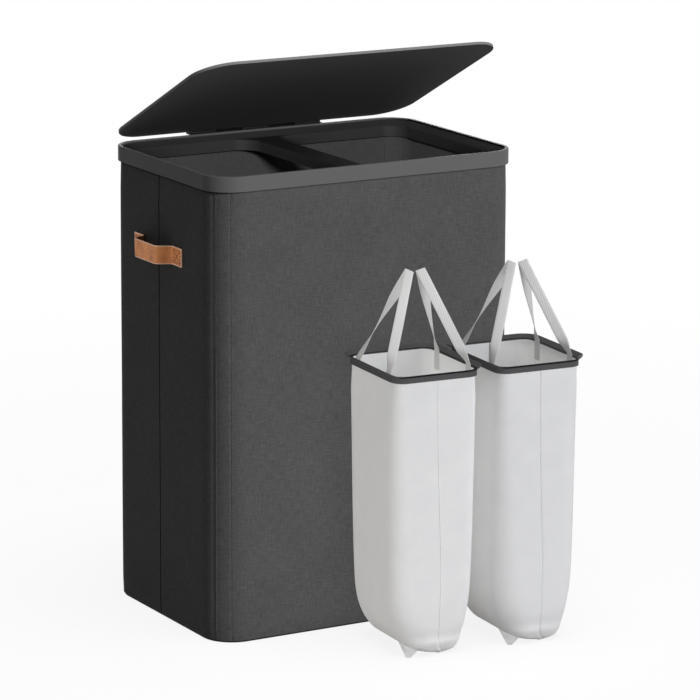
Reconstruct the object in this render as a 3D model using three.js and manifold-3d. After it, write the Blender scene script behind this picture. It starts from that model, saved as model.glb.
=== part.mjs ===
// Laundry hamper with two lift-out bags and a hinged lid.
// Millimetres, +Z up, +X to the right along the front, +Y towards the back.
// The origin is the middle of the hamper body's underside.

import * as THREE from 'three';
import { mergeVertices } from 'three/addons/utils/BufferGeometryUtils.js';
import Module from 'manifold-3d';

const wasm = await Module();
wasm.setup();

// Hamper: overall sizes
const hamperHeight = 700;
const rimWidth = 515.5;
const rimDepth = 351.4;
const rimCorner = 47.5;
const touchGap = 0.3;
const cutOverrun = 2;
const weldDistance = 0.001;

// Rim: outer band with a narrow top lip
const rimBandHeight = 23;
const rimWall = 3.5;
const rimLipWidth = 5.5;
const rimLipThickness = 2.4;
const rimEdgeRound = 1.4;

// Body wall: cover, board and lining, one inside the other
const coverThickness = 1;
const boardThickness = 3;
const liningThickness = 0.8;
const wallTopDrop = 11.4;
const bodyCorner = 47;
const bodyFlare = 1.75;
const basePanelThickness = 2.5;
const basePanelInset = 1;
const baseBoardThickness = 3;
const boardEdgeGap = 1.2;
const sideCreaseY = 10;

// Inner frame: sloped ledge, divider bar and two collars
const frameJointGap = 0.4;
const ledgeWidth = 9.1;
const frameDrop = 3;
const ledgeDrop = 11.5;
const framePlate = 2.4;
const collarDepth = 16.5;
const collarWall = 2;
const dividerWidth = 38;

// Lid and its barrel hinge
const lidWidth = 510;
const lidDepth = 351;
const lidThickness = 4.4;
const lidCorner = 54;
const lidOpenDegrees = 26;
const lidClosedGap = 0.6;
const hingeLength = 230;
const knuckleCount = 5;
const knuckleGap = 0.4;
const barrelRadius = 4;
const barrelBackShare = 0.8;
const pinRadius = 1.7;
const pinClearance = 0.3;
const pinHeight = 5.5;
const pinSetback = 9.8;
const troughGap = 0.8;
const webGap = 0.7;
const pinHeadRadius = 2.6;
const pinHeadThickness = 1.2;
const leafThickness = 1.5;
const rimLeafDrop = 19;
const rimLeafRise = 0.3;
const lidLeafDepth = 28;
const lidBackGap = 4.6;
const rivetHeadRadius = 3.4;
const rivetHeadHeight = 1.3;
const rivetShankRadius = 1.5;
const rivetBite = 2;
const rivetSpacing = 80;
const rimRivetDrop = 11;
const lidRivetInset = 18;

// Carry handles: leather straps sewn to the two sides
const handleLength = 152;
const handlePatch = 29;
const handleWidth = 28;
const handleThickness = 2.4;
const handleBow = 22;
const handleLegRun = 17;
const handleDrop = 135.5;
const handleY = 9;

// Bags: a ring, two sewn fabric halves, two webbing straps and a pull tab
const bagPlaces = [[2.5, -294], [166, -312]];
const bagTurnDegrees = -4;
const ringWidth = 138.5;
const ringDepth = 167;
const ringCorner = 20;
const ringBottom = 416;
const ringBand = 9.8;
const ringWall = 2.5;
const ringLip = 1.2;
const flareOut = 7;
const flareUp = 5;
const flareThickness = 1.8;
const flareStart = 3;
const flareRun = 13;
const bagWall = 1.2;
const seamGap = 0.3;
const bagKeelWidth = 1.3;
const bagLean = 14;
const webbingWidth = 14.5;
const webbingThickness = 1.1;
const strapSpread = 50;
const strapRise = 135;
const strapLean = [57.4, 53.9];
const strapStart = 0.8;
const footHeight = 30;
const footTopGap = 0.15;
const hingeLift = 2;
const tabReach = 48;
const tabBase = 56;
const tabForward = 22;
const tabSkew = 43;
const tabHole = 5;
const tabThickness = 1.4;
const tabClear = 7.3;

// How finely curves are divided
const cornerSteps = 7;
const barrelSides = 20;
const rivetSides = 12;
const legSteps = 9;
const strapSteps = 8;
const bagSideSteps = 3;
const bagCornerSteps = 4;

// Bag shape from the bottom up: height, half width, half depth and lean as shares
const bagShapeShares = [
  [0.006, 0.12, 0.81, 0.93],
  [0.014, 0.36, 0.85, 0.81],
  [0.03, 0.52, 0.9, 0.58],
  [0.06, 0.64, 0.945, 0.33],
  [0.10, 0.75, 0.98, 0.13],
  [0.15, 0.835, 1, 0],
  [0.22, 0.89, 1, 0],
  [0.34, 0.91, 1, 0],
  [0.55, 0.93, 1, 0],
  [0.75, 0.965, 1, 0],
  [0.90, 1, 1, 0],
  [1, 1, 1, 0],
];
const bagKeelDepthShare = 0.78;
const bagCornerShare = 0.3;

// Worked-out sizes
const rimHalfX = rimWidth / 2;
const rimHalfY = rimDepth / 2;
const bodyHalfX = rimHalfX - rimWall - touchGap;
const bodyHalfY = rimHalfY - rimWall - touchGap;
const wallTop = hamperHeight - wallTopDrop;
const wallBottom = basePanelThickness + touchGap;
const boardOuter = -(coverThickness + touchGap);
const boardInner = boardOuter - boardThickness;
const liningOuter = boardInner - touchGap;
const liningInner = liningOuter - liningThickness;
const frameOuter = -(rimLipWidth + frameJointGap);
const ledgeInner = frameOuter - ledgeWidth;
const ledgeTop = hamperHeight - ledgeDrop;
const handleHeight = hamperHeight - handleDrop;
const pinY = rimHalfY + pinSetback;
const pinZ = hamperHeight + pinHeight;
const lidUnderside = lidClosedGap - pinHeight;
const lidTop = lidUnderside + lidThickness;

const materials = {
  fabric: { color: 0x3b3b3d, roughness: 0.95, metalness: 0 },
  lining: { color: 0x343436, roughness: 0.95, metalness: 0 },
  board: { color: 0x8a7a62, roughness: 0.9, metalness: 0 },
  plastic: { color: 0x4a4b4d, roughness: 0.5, metalness: 0 },
  lid: { color: 0x3a3b3d, roughness: 0.6, metalness: 0 },
  hinge: { color: 0x3f4042, roughness: 0.45, metalness: 0.2 },
  steel: { color: 0x9a9c9e, roughness: 0.35, metalness: 0.9 },
  leather: { color: 0xa86a3c, roughness: 0.6, metalness: 0 },
  bag: { color: 0xe4e4e6, roughness: 0.8, metalness: 0 },
  webbing: { color: 0xc4c5c8, roughness: 0.75, metalness: 0 },
};

// Mesh building

/** A closed geometry from points and triangles, with its faces turned outwards. */
function closedGeometry(points, triangles) {
  const loose = new THREE.BufferGeometry();
  loose.setAttribute('position', new THREE.Float32BufferAttribute(points.flat(), 3));
  loose.setIndex(triangles.flat());
  const merged = mergeVertices(loose, weldDistance);
  const index = merged.index.array;
  const place = merged.attributes.position;
  const kept = [];
  let volume = 0;
  const a = new THREE.Vector3();
  const b = new THREE.Vector3();
  const c = new THREE.Vector3();
  for (let i = 0; i < index.length; i += 3) {
    const [p, q, r] = [index[i], index[i + 1], index[i + 2]];
    if (p === q || q === r || r === p) continue;
    kept.push(p, q, r);
    a.fromBufferAttribute(place, p);
    b.fromBufferAttribute(place, q);
    c.fromBufferAttribute(place, r);
    volume += a.dot(b.cross(c));
  }
  if (volume < 0) kept.reverse();
  merged.setIndex(kept);
  merged.computeVertexNormals();
  return merged;
}

/** Triangles between two equal rows of points, which start at the given numbers. */
function strip(first, second, count, closed) {
  const triangles = [];
  const last = closed ? count : count - 1;
  for (let i = 0; i < last; i += 1) {
    const j = (i + 1) % count;
    triangles.push([first + i, first + j, second + j], [first + i, second + j, second + i]);
  }
  return triangles;
}

/** Points of a rounded rectangle, anticlockwise, with the same count at every size. */
function roundedRectangle(halfX, halfY, corner) {
  const radius = Math.min(Math.max(corner, 0), halfX, halfY);
  const points = [];
  const centres = [[1, 1], [-1, 1], [-1, -1], [1, -1]];
  centres.forEach(([sideX, sideY], quarter) => {
    for (let i = 0; i <= cornerSteps; i += 1) {
      const angle = (quarter + i / cornerSteps) * Math.PI / 2;
      points.push([
        sideX * (halfX - radius) + radius * Math.cos(angle),
        sideY * (halfY - radius) + radius * Math.sin(angle),
      ]);
    }
  });
  return points;
}

/** A closed profile of [offset, height] points carried round a rounded rectangle. */
function sweptRing(halfX, halfY, corner, profile) {
  const points = [];
  const triangles = [];
  profile.forEach(([offset, height]) => {
    roundedRectangle(halfX + offset, halfY + offset, corner + offset).forEach(([x, y]) => {
      points.push([x, y, height]);
    });
  });
  const count = points.length / profile.length;
  profile.forEach((point, row) => {
    const next = (row + 1) % profile.length;
    triangles.push(...strip(row * count, next * count, count, true));
  });
  return closedGeometry(points, triangles);
}

/** A solid between two outlines of equal count, each a list of [x, y, z]. */
function loft(lower, upper) {
  const count = lower.length;
  const plan = (outline) => outline.map(([x, y]) => new THREE.Vector2(x, y));
  const clockwise = THREE.ShapeUtils.isClockWise(plan(lower));
  const [bottom, top] = clockwise ? [[...lower].reverse(), [...upper].reverse()] : [lower, upper];
  const triangles = strip(0, count, count, true);
  THREE.ShapeUtils.triangulateShape(plan(bottom), []).forEach(([p, q, r]) => {
    triangles.push([p, r, q], [p + count, q + count, r + count]);
  });
  return closedGeometry([...bottom, ...top], triangles);
}

/** A shape from a list of [x, y] points. */
function shapeOf(points) {
  return new THREE.Shape(points.map(([x, y]) => new THREE.Vector2(x, y)));
}

/** An outline drawn up from one height to another. */
function prism(points, bottom, top) {
  const options = { depth: top - bottom, bevelEnabled: false, steps: 1 };
  return new THREE.ExtrudeGeometry(shapeOf(points), options).translate(0, 0, bottom);
}

/** An outline of [y, z] points drawn along X from one place to another. */
function prismAlongX(points, start, end) {
  const solid = prism(points, start, end);
  return solid.applyMatrix4(new THREE.Matrix4().set(0, 0, 1, 0, 1, 0, 0, 0, 0, 1, 0, 0, 0, 0, 0, 1));
}

/** A round bar along X. */
function barAlongX(radius, start, end, sides = barrelSides) {
  const bar = new THREE.CylinderGeometry(radius, radius, end - start, sides);
  return bar.rotateZ(Math.PI / 2).translate((start + end) / 2, 0, 0);
}

function toManifold(geometry) {
  const bare = new THREE.BufferGeometry();
  bare.setAttribute('position', geometry.attributes.position.clone());
  bare.setIndex(geometry.index ? geometry.index.clone() : null);
  const merged = mergeVertices(bare, weldDistance);
  return new wasm.Manifold(new wasm.Mesh({
    numProp: 3,
    vertProperties: new Float32Array(merged.attributes.position.array),
    triVerts: new Uint32Array(merged.index.array),
  }));
}

function fromManifold(manifold) {
  const mesh = manifold.getMesh();
  const geometry = new THREE.BufferGeometry();
  geometry.setAttribute('position', new THREE.Float32BufferAttribute(mesh.vertProperties, 3));
  geometry.setIndex([...mesh.triVerts]);
  geometry.computeVertexNormals();
  return geometry;
}

/** The first geometries joined, with the others cut away. */
function combine(joined, cut = []) {
  let result = toManifold(joined[0]);
  joined.slice(1).forEach((piece) => { result = result.add(toManifold(piece)); });
  cut.forEach((piece) => { result = result.subtract(toManifold(piece)); });
  return fromManifold(result);
}

const hamper = new THREE.Group();

function addPiece(name, geometry, material, parent = hamper) {
  const mesh = new THREE.Mesh(geometry, new THREE.MeshStandardMaterial(materials[material]));
  mesh.name = name;
  parent.add(mesh);
  return mesh;
}

// Body wall: every layer leans out by the same flare towards the floor

/** How far the body wall stands out at a height, beside its size at the top. */
function flareAt(height) {
  return bodyFlare * (1 - height / wallTop);
}

/** A closed skin round the body between two offsets from the cover's face. */
function wallSkin(outer, inner) {
  return sweptRing(bodyHalfX, bodyHalfY, bodyCorner, [
    [outer + flareAt(wallBottom), wallBottom],
    [outer, wallTop],
    [inner, wallTop],
    [inner + flareAt(wallBottom), wallBottom],
  ]);
}

/** A flat board in the wall, from one end to the other along that wall. */
function wallBoard(side, start, end) {
  const corners = [[start, boardOuter], [end, boardOuter], [end, boardInner], [start, boardInner]];
  const ring = (height) => corners.map(([along, offset]) => {
    const out = offset + flareAt(height);
    if (side === 'front') return [along, -(bodyHalfY + out), height];
    if (side === 'back') return [along, bodyHalfY + out, height];
    if (side === 'left') return [-(bodyHalfX + out), along, height];
    return [bodyHalfX + out, along, height];
  });
  return loft(ring(wallBottom), ring(wallTop));
}

/** A curved strip that stiffens one corner of the wall. */
function cornerStrip(sideX, sideY) {
  const ring = (height) => {
    const arc = (offset) => Array.from({ length: cornerSteps + 1 }, (unused, i) => {
      const angle = (i / cornerSteps) * Math.PI / 2;
      const radius = bodyCorner + offset + flareAt(height);
      return [
        sideX * (bodyHalfX - bodyCorner + radius * Math.cos(angle)),
        sideY * (bodyHalfY - bodyCorner + radius * Math.sin(angle)),
        height,
      ];
    });
    return [...arc(boardOuter), ...arc(boardInner).reverse()];
  };
  return loft(ring(wallBottom), ring(wallTop));
}

function addBody() {
  const panel = roundedRectangle(
    bodyHalfX + bodyFlare - basePanelInset,
    bodyHalfY + bodyFlare - basePanelInset,
    bodyCorner + bodyFlare - basePanelInset,
  );
  addPiece('base_panel', prism(panel, 0, basePanelThickness), 'fabric');
  const boardOffset = liningInner - touchGap;
  const board = roundedRectangle(
    bodyHalfX + boardOffset, bodyHalfY + boardOffset, bodyCorner + boardOffset);
  addPiece('base_board', prism(board, wallBottom, wallBottom + baseBoardThickness), 'lining');

  addPiece('outer_cover', wallSkin(0, -coverThickness), 'fabric');
  addPiece('inner_lining', wallSkin(liningOuter, liningInner), 'lining');

  const endX = bodyHalfX - bodyCorner - boardEdgeGap;
  const endY = bodyHalfY - bodyCorner - boardEdgeGap;
  const creaseGap = boardEdgeGap / 2;
  ['front', 'back'].forEach((side) => {
    addPiece(`${side}_board`, wallBoard(side, -endX, endX), 'board');
  });
  ['left', 'right'].forEach((side) => {
    addPiece(`${side}_front_board`, wallBoard(side, -endY, sideCreaseY - creaseGap), 'board');
    addPiece(`${side}_back_board`, wallBoard(side, sideCreaseY + creaseGap, endY), 'board');
  });
  [['front', -1], ['back', 1]].forEach(([end, sideY]) => {
    [['left', -1], ['right', 1]].forEach(([side, sideX]) => {
      addPiece(`${end}_${side}_corner_strip`, cornerStrip(sideX, sideY), 'board');
    });
  });
}

// Rim: the band that grips the top of the cover

function rimProfile() {
  const top = hamperHeight;
  const bottom = top - rimBandHeight;
  const round = [0, 1, 2, 3].map((step) => {
    const angle = step * Math.PI / 6;
    return [
      rimEdgeRound * (Math.cos(angle) - 1),
      top - rimEdgeRound * (1 - Math.sin(angle)),
    ];
  });
  return [
    [0, bottom],
    ...round,
    [-rimLipWidth, top],
    [-rimLipWidth, top - rimLipThickness],
    [-rimWall, top - rimLipThickness],
    [-rimWall, bottom],
  ];
}

function addRim() {
  const band = sweptRing(rimHalfX, rimHalfY, rimCorner, rimProfile());
  const holes = rivetColumns().map((x) => (
    rivetHole(rivetBite + touchGap)
      .rotateX(-Math.PI / 2)
      .translate(x, rimHalfY, hamperHeight - rimRivetDrop)
  ));
  addPiece('rim', combine([band], holes), 'plastic');
}

// Inner frame: ledge, divider and a collar round each opening

function addInnerFrame() {
  const top = hamperHeight - frameDrop;
  const bottom = ledgeTop - framePlate;
  const ledge = sweptRing(rimHalfX, rimHalfY, rimCorner, [
    [frameOuter, top],
    [ledgeInner, ledgeTop],
    [ledgeInner, bottom],
    [ledgeInner + collarWall, bottom],
    [frameOuter, top - framePlate],
  ]);
  const plateOffset = ledgeInner + collarWall / 2;
  const plate = prism(
    roundedRectangle(rimHalfX + plateOffset, rimHalfY + plateOffset, rimCorner + plateOffset),
    bottom, ledgeTop);
  const openingHalfX = (rimHalfX + ledgeInner - dividerWidth / 2) / 2;
  const openingHalfY = rimHalfY + ledgeInner;
  const openingX = dividerWidth / 2 + openingHalfX;
  const collars = [];
  const openings = [];
  [-1, 1].forEach((side) => {
    const place = (grow) => roundedRectangle(
      openingHalfX + grow, openingHalfY + grow, rimCorner + ledgeInner + grow,
    ).map(([x, y]) => [x + side * openingX, y]);
    collars.push(prism(place(collarWall), ledgeTop - collarDepth, ledgeTop - framePlate / 2));
    openings.push(prism(place(0), ledgeTop - collarDepth - cutOverrun, top + cutOverrun));
  });
  addPiece('inner_frame', combine([ledge, plate, ...collars], openings), 'plastic');
}

// Lid, hinge and rivets. In the lid's group the pin is the origin and the lid lies closed.

function knuckles(parity) {
  const length = hingeLength / knuckleCount;
  const spans = [];
  for (let i = parity; i < knuckleCount; i += 2) {
    const start = -hingeLength / 2 + i * length;
    spans.push([start + knuckleGap / 2, start + length - knuckleGap / 2]);
  }
  return spans;
}

function rivetColumns() {
  return [-rivetSpacing, 0, rivetSpacing];
}

/** A rivet that points down: its head stands on height zero, its shank goes below. */
function rivet() {
  const through = leafThickness + touchGap + touchGap + rivetBite;
  const profile = [
    [0, -through],
    [rivetShankRadius, -through],
    [rivetShankRadius, 0],
    [rivetHeadRadius, 0],
    [rivetHeadRadius * Math.cos(Math.PI / 6), rivetHeadHeight / 2],
    [rivetHeadRadius / 2, rivetHeadHeight * Math.cos(Math.PI / 6)],
    [0, rivetHeadHeight],
  ].map(([x, y]) => new THREE.Vector2(x, y));
  const turned = new THREE.LatheGeometry(profile, rivetSides).rotateX(Math.PI / 2);
  return closedFromGeometry(turned);
}

/** A three.js geometry with its seams merged and its faces turned outwards. */
function closedFromGeometry(geometry) {
  const place = geometry.attributes.position;
  const points = Array.from({ length: place.count }, (unused, i) => (
    [place.getX(i), place.getY(i), place.getZ(i)]));
  const index = geometry.index.array;
  const triangles = [];
  for (let i = 0; i < index.length; i += 3) {
    triangles.push([index[i], index[i + 1], index[i + 2]]);
  }
  return closedGeometry(points, triangles);
}

/** The room for a rivet's shank below height zero, to a depth. */
function rivetHole(depth) {
  const hole = new THREE.CylinderGeometry(
    rivetShankRadius + touchGap, rivetShankRadius + touchGap, depth + cutOverrun, rivetSides);
  return hole.rotateX(Math.PI / 2).translate(0, 0, (cutOverrun - depth) / 2);
}

function addRimLeaf() {
  const front = rimHalfY + touchGap;
  const back = front + leafThickness;
  const bottom = hamperHeight - rimLeafDrop;
  const plateTop = hamperHeight + rimLeafRise;
  const troughBottom = plateTop - leafThickness;
  const lipFront = pinY + barrelRadius + troughGap;
  const lipBack = lipFront + leafThickness;
  const lipTop = pinZ - barrelRadius / 2;
  const plate = prismAlongX([
    [front, bottom],
    [back, bottom],
    [back, troughBottom],
    [lipBack, troughBottom],
    [lipBack, lipTop],
    [lipFront, lipTop],
    [lipFront, plateTop],
    [front, plateTop],
  ], -hingeLength / 2, hingeLength / 2);
  const parts = [plate];
  const webFront = pinY - lidBackGap + webGap;
  knuckles(0).forEach(([start, end]) => {
    parts.push(prismAlongX([
      [webFront, troughBottom],
      [lipFront, troughBottom],
      [pinY + barrelRadius * barrelBackShare, pinZ - barrelRadius / 2],
      [pinY, pinZ],
      [pinY - barrelRadius * barrelBackShare, pinZ - barrelRadius / 2],
      [webFront, plateTop],
    ], start, end));
    parts.push(barAlongX(barrelRadius, start, end).translate(0, pinY, pinZ));
  });
  const bore = barAlongX(
    pinRadius + pinClearance, -hingeLength / 2 - cutOverrun, hingeLength / 2 + cutOverrun);
  const cuts = [bore.translate(0, pinY, pinZ)];
  rivetColumns().forEach((x) => {
    const hole = rivetHole(leafThickness + cutOverrun);
    cuts.push(hole.rotateX(-Math.PI / 2).translate(x, back, hamperHeight - rimRivetDrop));
  });
  addPiece('rim_hinge_leaf', combine(parts, cuts), 'hinge');
  rivetColumns().forEach((x, i) => {
    const head = rivet().rotateX(-Math.PI / 2);
    head.translate(x, back + touchGap, hamperHeight - rimRivetDrop);
    addPiece(`rim_rivet_${i + 1}`, head, 'steel');
  });
}

function addPin() {
  const end = hingeLength / 2 + touchGap;
  const pin = combine([
    barAlongX(pinRadius, -end - touchGap, end + touchGap),
    barAlongX(pinHeadRadius, -end - pinHeadThickness, -end),
    barAlongX(pinHeadRadius, end, end + pinHeadThickness),
  ]);
  addPiece('hinge_pin', pin.translate(0, pinY, pinZ), 'steel');
}

function addLid() {
  const lidGroup = new THREE.Group();
  lidGroup.position.set(0, pinY, pinZ);
  lidGroup.rotation.x = -THREE.MathUtils.degToRad(lidOpenDegrees);
  hamper.add(lidGroup);

  const outline = roundedRectangle(lidWidth / 2, lidDepth / 2, lidCorner)
    .map(([x, y]) => [x, y - lidDepth / 2 - lidBackGap]);
  const rivetY = -(lidBackGap + lidRivetInset);
  const lidHoles = rivetColumns().map((x) => (
    rivetHole(rivetBite + touchGap).translate(x, rivetY, lidTop)));
  addPiece('lid', combine([prism(outline, lidUnderside, lidTop)], lidHoles), 'lid', lidGroup);

  const leafBottom = lidTop + touchGap;
  const leafTop = leafBottom + leafThickness;
  const leafBox = (front, back) => [
    [front, leafBottom], [back, leafBottom], [back, leafTop], [front, leafTop]];
  const parts = [
    prismAlongX(leafBox(-lidBackGap - lidLeafDepth, -lidBackGap),
      -hingeLength / 2, hingeLength / 2),
  ];
  knuckles(1).forEach(([start, end]) => {
    parts.push(prismAlongX(leafBox(-lidBackGap - leafThickness, -barrelRadius / 2), start, end));
    parts.push(barAlongX(barrelRadius, start, end));
  });
  const cuts = [barAlongX(pinRadius + pinClearance, -hingeLength, hingeLength)];
  rivetColumns().forEach((x) => {
    cuts.push(rivetHole(leafThickness + cutOverrun).translate(x, rivetY, leafTop));
  });
  addPiece('lid_hinge_leaf', combine(parts, cuts), 'hinge', lidGroup);
  rivetColumns().forEach((x, i) => {
    const head = rivet().translate(x, rivetY, leafTop + touchGap);
    addPiece(`lid_rivet_${i + 1}`, head, 'steel', lidGroup);
  });
}

// Handles: flat sewn ends and a bowed middle

/** How far the strap stands out at a distance from its middle. */
function handleOut(distance) {
  const legEnd = handleLength / 2 - handlePatch;
  const share = THREE.MathUtils.clamp((legEnd - Math.abs(distance)) / handleLegRun, 0, 1);
  return handleBow * THREE.MathUtils.smoothstep(share, 0, 1);
}

function addHandle(name, side) {
  const legEnd = handleLength / 2 - handlePatch;
  const stations = [-handleLength / 2];
  for (let i = 0; i <= legSteps; i += 1) {
    stations.push(-legEnd + handleLegRun * i / legSteps);
  }
  const middle = stations.map((y) => new THREE.Vector2(handleOut(y), y));
  middle.push(...stations.slice().reverse().map((y) => new THREE.Vector2(handleOut(y), -y)));
  const inner = [];
  const outer = [];
  middle.forEach((point, i) => {
    const before = middle[Math.max(i - 1, 0)];
    const after = middle[Math.min(i + 1, middle.length - 1)];
    const along = after.clone().sub(before).normalize();
    const half = handleThickness / 2;
    outer.push([point.x + along.y * half, point.y - along.x * half]);
    inner.push([point.x - along.y * half, point.y + along.x * half]);
  });
  const face = bodyHalfX + flareAt(handleHeight - handleWidth / 2) + touchGap + handleThickness / 2;
  const outline = [...outer, ...inner.reverse()]
    .map(([out, along]) => [side * (face + out), handleY + along]);
  const lower = outline.map(([x, y]) => [x, y, handleHeight - handleWidth / 2]);
  const upper = outline.map(([x, y]) => [x, y, handleHeight + handleWidth / 2]);
  addPiece(name, loft(lower, upper), 'leather');
}

// Bags. In a bag's group the middle of its ring is above the origin.

function addRing(parent, prefix) {
  const halfX = ringWidth / 2;
  const halfY = ringDepth / 2;
  const top = ringBottom + ringBand;
  const lipInner = -(ringWall + touchGap + bagWall);
  const band = sweptRing(halfX, halfY, ringCorner, [
    [0, ringBottom], [0, top], [lipInner, top], [lipInner, top - ringLip],
    [-ringWall, top - ringLip], [-ringWall, ringBottom],
  ]);
  const flare = sweptRing(halfX, halfY, ringCorner, [
    [-ringWall + touchGap, top - flareThickness],
    [0, top - flareThickness],
    [flareOut, top + flareUp - flareThickness],
    [flareOut - flareThickness / 2, top + flareUp],
    [-ringWall + touchGap, top],
  ]);
  const scoop = [[-ringDepth, top - flareUp], [-ringDepth, top + ringBand + flareUp]];
  for (let i = 0; i <= legSteps; i += 1) {
    const share = 1 - i / legSteps;
    const rise = (flareUp + flareUp) * (1 - Math.sqrt(1 - share * share));
    scoop.push([-halfY + flareStart + flareRun * share, top - flareThickness + rise]);
  }
  scoop.push([-halfY + flareStart, top - flareUp]);
  const cutter = prismAlongX(scoop, -ringWidth, ringWidth);
  const lip = combine([flare], [cutter]);
  addPiece(`${prefix}_ring`, combine([band, lip]), 'plastic', parent);
}

/** Half an outline of the bag from the front seam round one side to the back seam. */
function bagHalfOutline(halfX, halfY, corner, side, seam) {
  const radius = Math.min(corner, halfX - seam, halfY);
  const straight = halfX - radius;
  const points = [[seam, -halfY]];
  for (let i = 1; i < bagSideSteps; i += 1) {
    points.push([seam + (straight - seam) * i / bagSideSteps, -halfY]);
  }
  for (let i = 0; i <= bagCornerSteps; i += 1) {
    const angle = (i / bagCornerSteps) * Math.PI / 2;
    points.push([straight + radius * Math.sin(angle), -halfY + radius * (1 - Math.cos(angle))]);
  }
  const flat = halfY - radius;
  for (let i = 1; i < bagSideSteps; i += 1) {
    points.push([halfX, -flat + 2 * flat * i / bagSideSteps]);
  }
  const front = points.slice(0, bagSideSteps + bagCornerSteps + 1);
  points.push(...front.reverse().map(([x, y]) => [x, -y]));
  return points.map(([x, y]) => [side * x, y]);
}

/** One sewn half of the bag: a curved shell from the keel at the floor up to the ring. */
function bagHalf(side) {
  const seam = seamGap / 2;
  const fabricInset = ringWall + touchGap;
  const halfX = ringWidth / 2 - fabricInset;
  const halfY = ringDepth / 2 - fabricInset;
  const top = ringBottom + ringBand - ringLip - touchGap;
  const corner = ringCorner - fabricInset;
  const rows = (inset) => {
    const keel = bagHalfOutline(
      bagKeelWidth, halfY * bagKeelDepthShare - inset, bagKeelWidth * bagCornerShare, side, seam);
    const levels = [
      keel.map(([, y]) => [bagLean + side * seam, y, inset]),
      keel.map(([x, y]) => [bagLean + x, y, inset]),
    ];
    bagShapeShares.forEach(([heightShare, widthShare, depthShare, leanShare]) => {
      const lean = bagLean * leanShare;
      const level = bagHalfOutline(
        halfX * widthShare - inset,
        halfY * depthShare - inset,
        Math.max(Math.min(corner, halfX * widthShare * bagCornerShare), seamGap) - inset * bagCornerShare,
        side, seam);
      const rise = heightShare < 1 ? inset * (1 - heightShare) : 0;
      levels.push(level.map(([x, y]) => [lean + x, y, top * heightShare + rise]));
    });
    return levels;
  };
  const outer = rows(0);
  const inner = rows(bagWall);
  const count = outer[0].length;
  const levels = outer.length;
  const points = [...outer.flat(), ...inner.flat()];
  const innerStart = levels * count;
  const triangles = [];
  for (let row = 0; row < levels - 1; row += 1) {
    triangles.push(...strip(row * count, (row + 1) * count, count, false));
    triangles.push(...strip(innerStart + (row + 1) * count, innerStart + row * count, count, false));
    [0, count - 1].forEach((station, end) => {
      const a = row * count + station;
      const b = (row + 1) * count + station;
      const pair = [[a, b, b + innerStart], [a, b + innerStart, a + innerStart]];
      triangles.push(...(end ? pair.map((t) => t.reverse()) : pair));
    });
  }
  const topRow = (levels - 1) * count;
  triangles.push(...strip(topRow, innerStart + topRow, count, false));
  triangles.push(...strip(innerStart, 0, count, false));
  return closedGeometry(points, triangles);
}

/** A webbing loop in its own plane: flat at its feet, edge on at its folded top. */
function strapLoop(side, lean) {
  const length = Math.hypot(lean, strapRise);
  const up = new THREE.Vector3(-side * lean, 0, strapRise).divideScalar(length);
  const across = new THREE.Vector3(0, 1, 0);
  const normal = new THREE.Vector3().crossVectors(across, up);
  const half = webbingThickness / 2;
  const sections = [];
  const leg = across.clone().multiplyScalar(-strapSpread).addScaledVector(up, -length).normalize();
  const legLength = Math.hypot(strapSpread, length);
  const flat = new THREE.Vector3().crossVectors(normal, leg);
  const start = strapStart * legLength / length;
  for (let i = 0; i < strapSteps; i += 1) {
    const share = i / strapSteps;
    const twist = THREE.MathUtils.smoothstep(share, 0, 1) * Math.PI / 2;
    const wide = flat.clone().multiplyScalar(Math.cos(twist)).addScaledVector(normal, Math.sin(twist));
    const thick = new THREE.Vector3().crossVectors(leg, wide);
    if (i === 0) {
      wide.copy(across).multiplyScalar(Math.sign(flat.dot(across)));
      thick.copy(normal).multiplyScalar(Math.sign(thick.dot(normal)));
    }
    const distance = start + (legLength - start) * share;
    const centre = up.clone().multiplyScalar(length).addScaledVector(leg, legLength - distance);
    sections.push([[-1, -1], [1, -1], [1, 1], [-1, 1]].map(([w, t]) => (
      centre.clone()
        .addScaledVector(wide, w * webbingWidth / 2)
        .addScaledVector(thick, t * half))));
  }
  const sharpness = half / (strapSpread / legLength);
  const apex = [[-1, -1], [1, -1], [1, 1], [-1, 1]].map(([w, t]) => (
    up.clone().multiplyScalar(length - t * sharpness)
      .addScaledVector(normal, w * webbingWidth / 2)));
  const last = sections[strapSteps - 1];
  const inward = last[2].clone().sub(last[1]).dot(up) < 0 ? 1 : -1;
  const fold = inward > 0 ? apex : [apex[3], apex[2], apex[1], apex[0]];
  const mirrored = sections.slice().reverse().map((section) => (
    section.map((point) => new THREE.Vector3(point.x, -point.y, point.z))));
  const loops = [...sections, fold, ...mirrored];
  const points = loops.flat().map((point) => [point.x, point.y, point.z]);
  const triangles = [];
  loops.slice(1).forEach((loop, row) => {
    triangles.push(...strip(row * 4, (row + 1) * 4, 4, true));
  });
  const end = (loops.length - 1) * 4;
  triangles.push([0, 2, 1], [0, 3, 2], [end, end + 1, end + 2], [end, end + 2, end + 3]);
  return closedGeometry(points, triangles);
}

function addStraps(parent, prefix) {
  const wallX = ringWidth / 2 - ringWall - touchGap - bagWall - touchGap - webbingThickness / 2;
  const hingeZ = ringBottom + ringBand + hingeLift;
  [['left', -1], ['right', 1]].forEach(([label, side], i) => {
    const loop = strapLoop(side, strapLean[i]).translate(side * wallX, 0, hingeZ);
    addPiece(`${prefix}_${label}_strap`, loop, 'webbing', parent);
    [['front', -1], ['back', 1]].forEach(([end, sideY]) => {
      const foot = new THREE.BoxGeometry(webbingThickness, webbingWidth, footHeight);
      foot.translate(side * wallX, sideY * strapSpread, hingeZ - footTopGap - footHeight / 2);
      addPiece(`${prefix}_${label}_strap_${end}_foot`, foot, 'webbing', parent);
    });
  });
}

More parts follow.
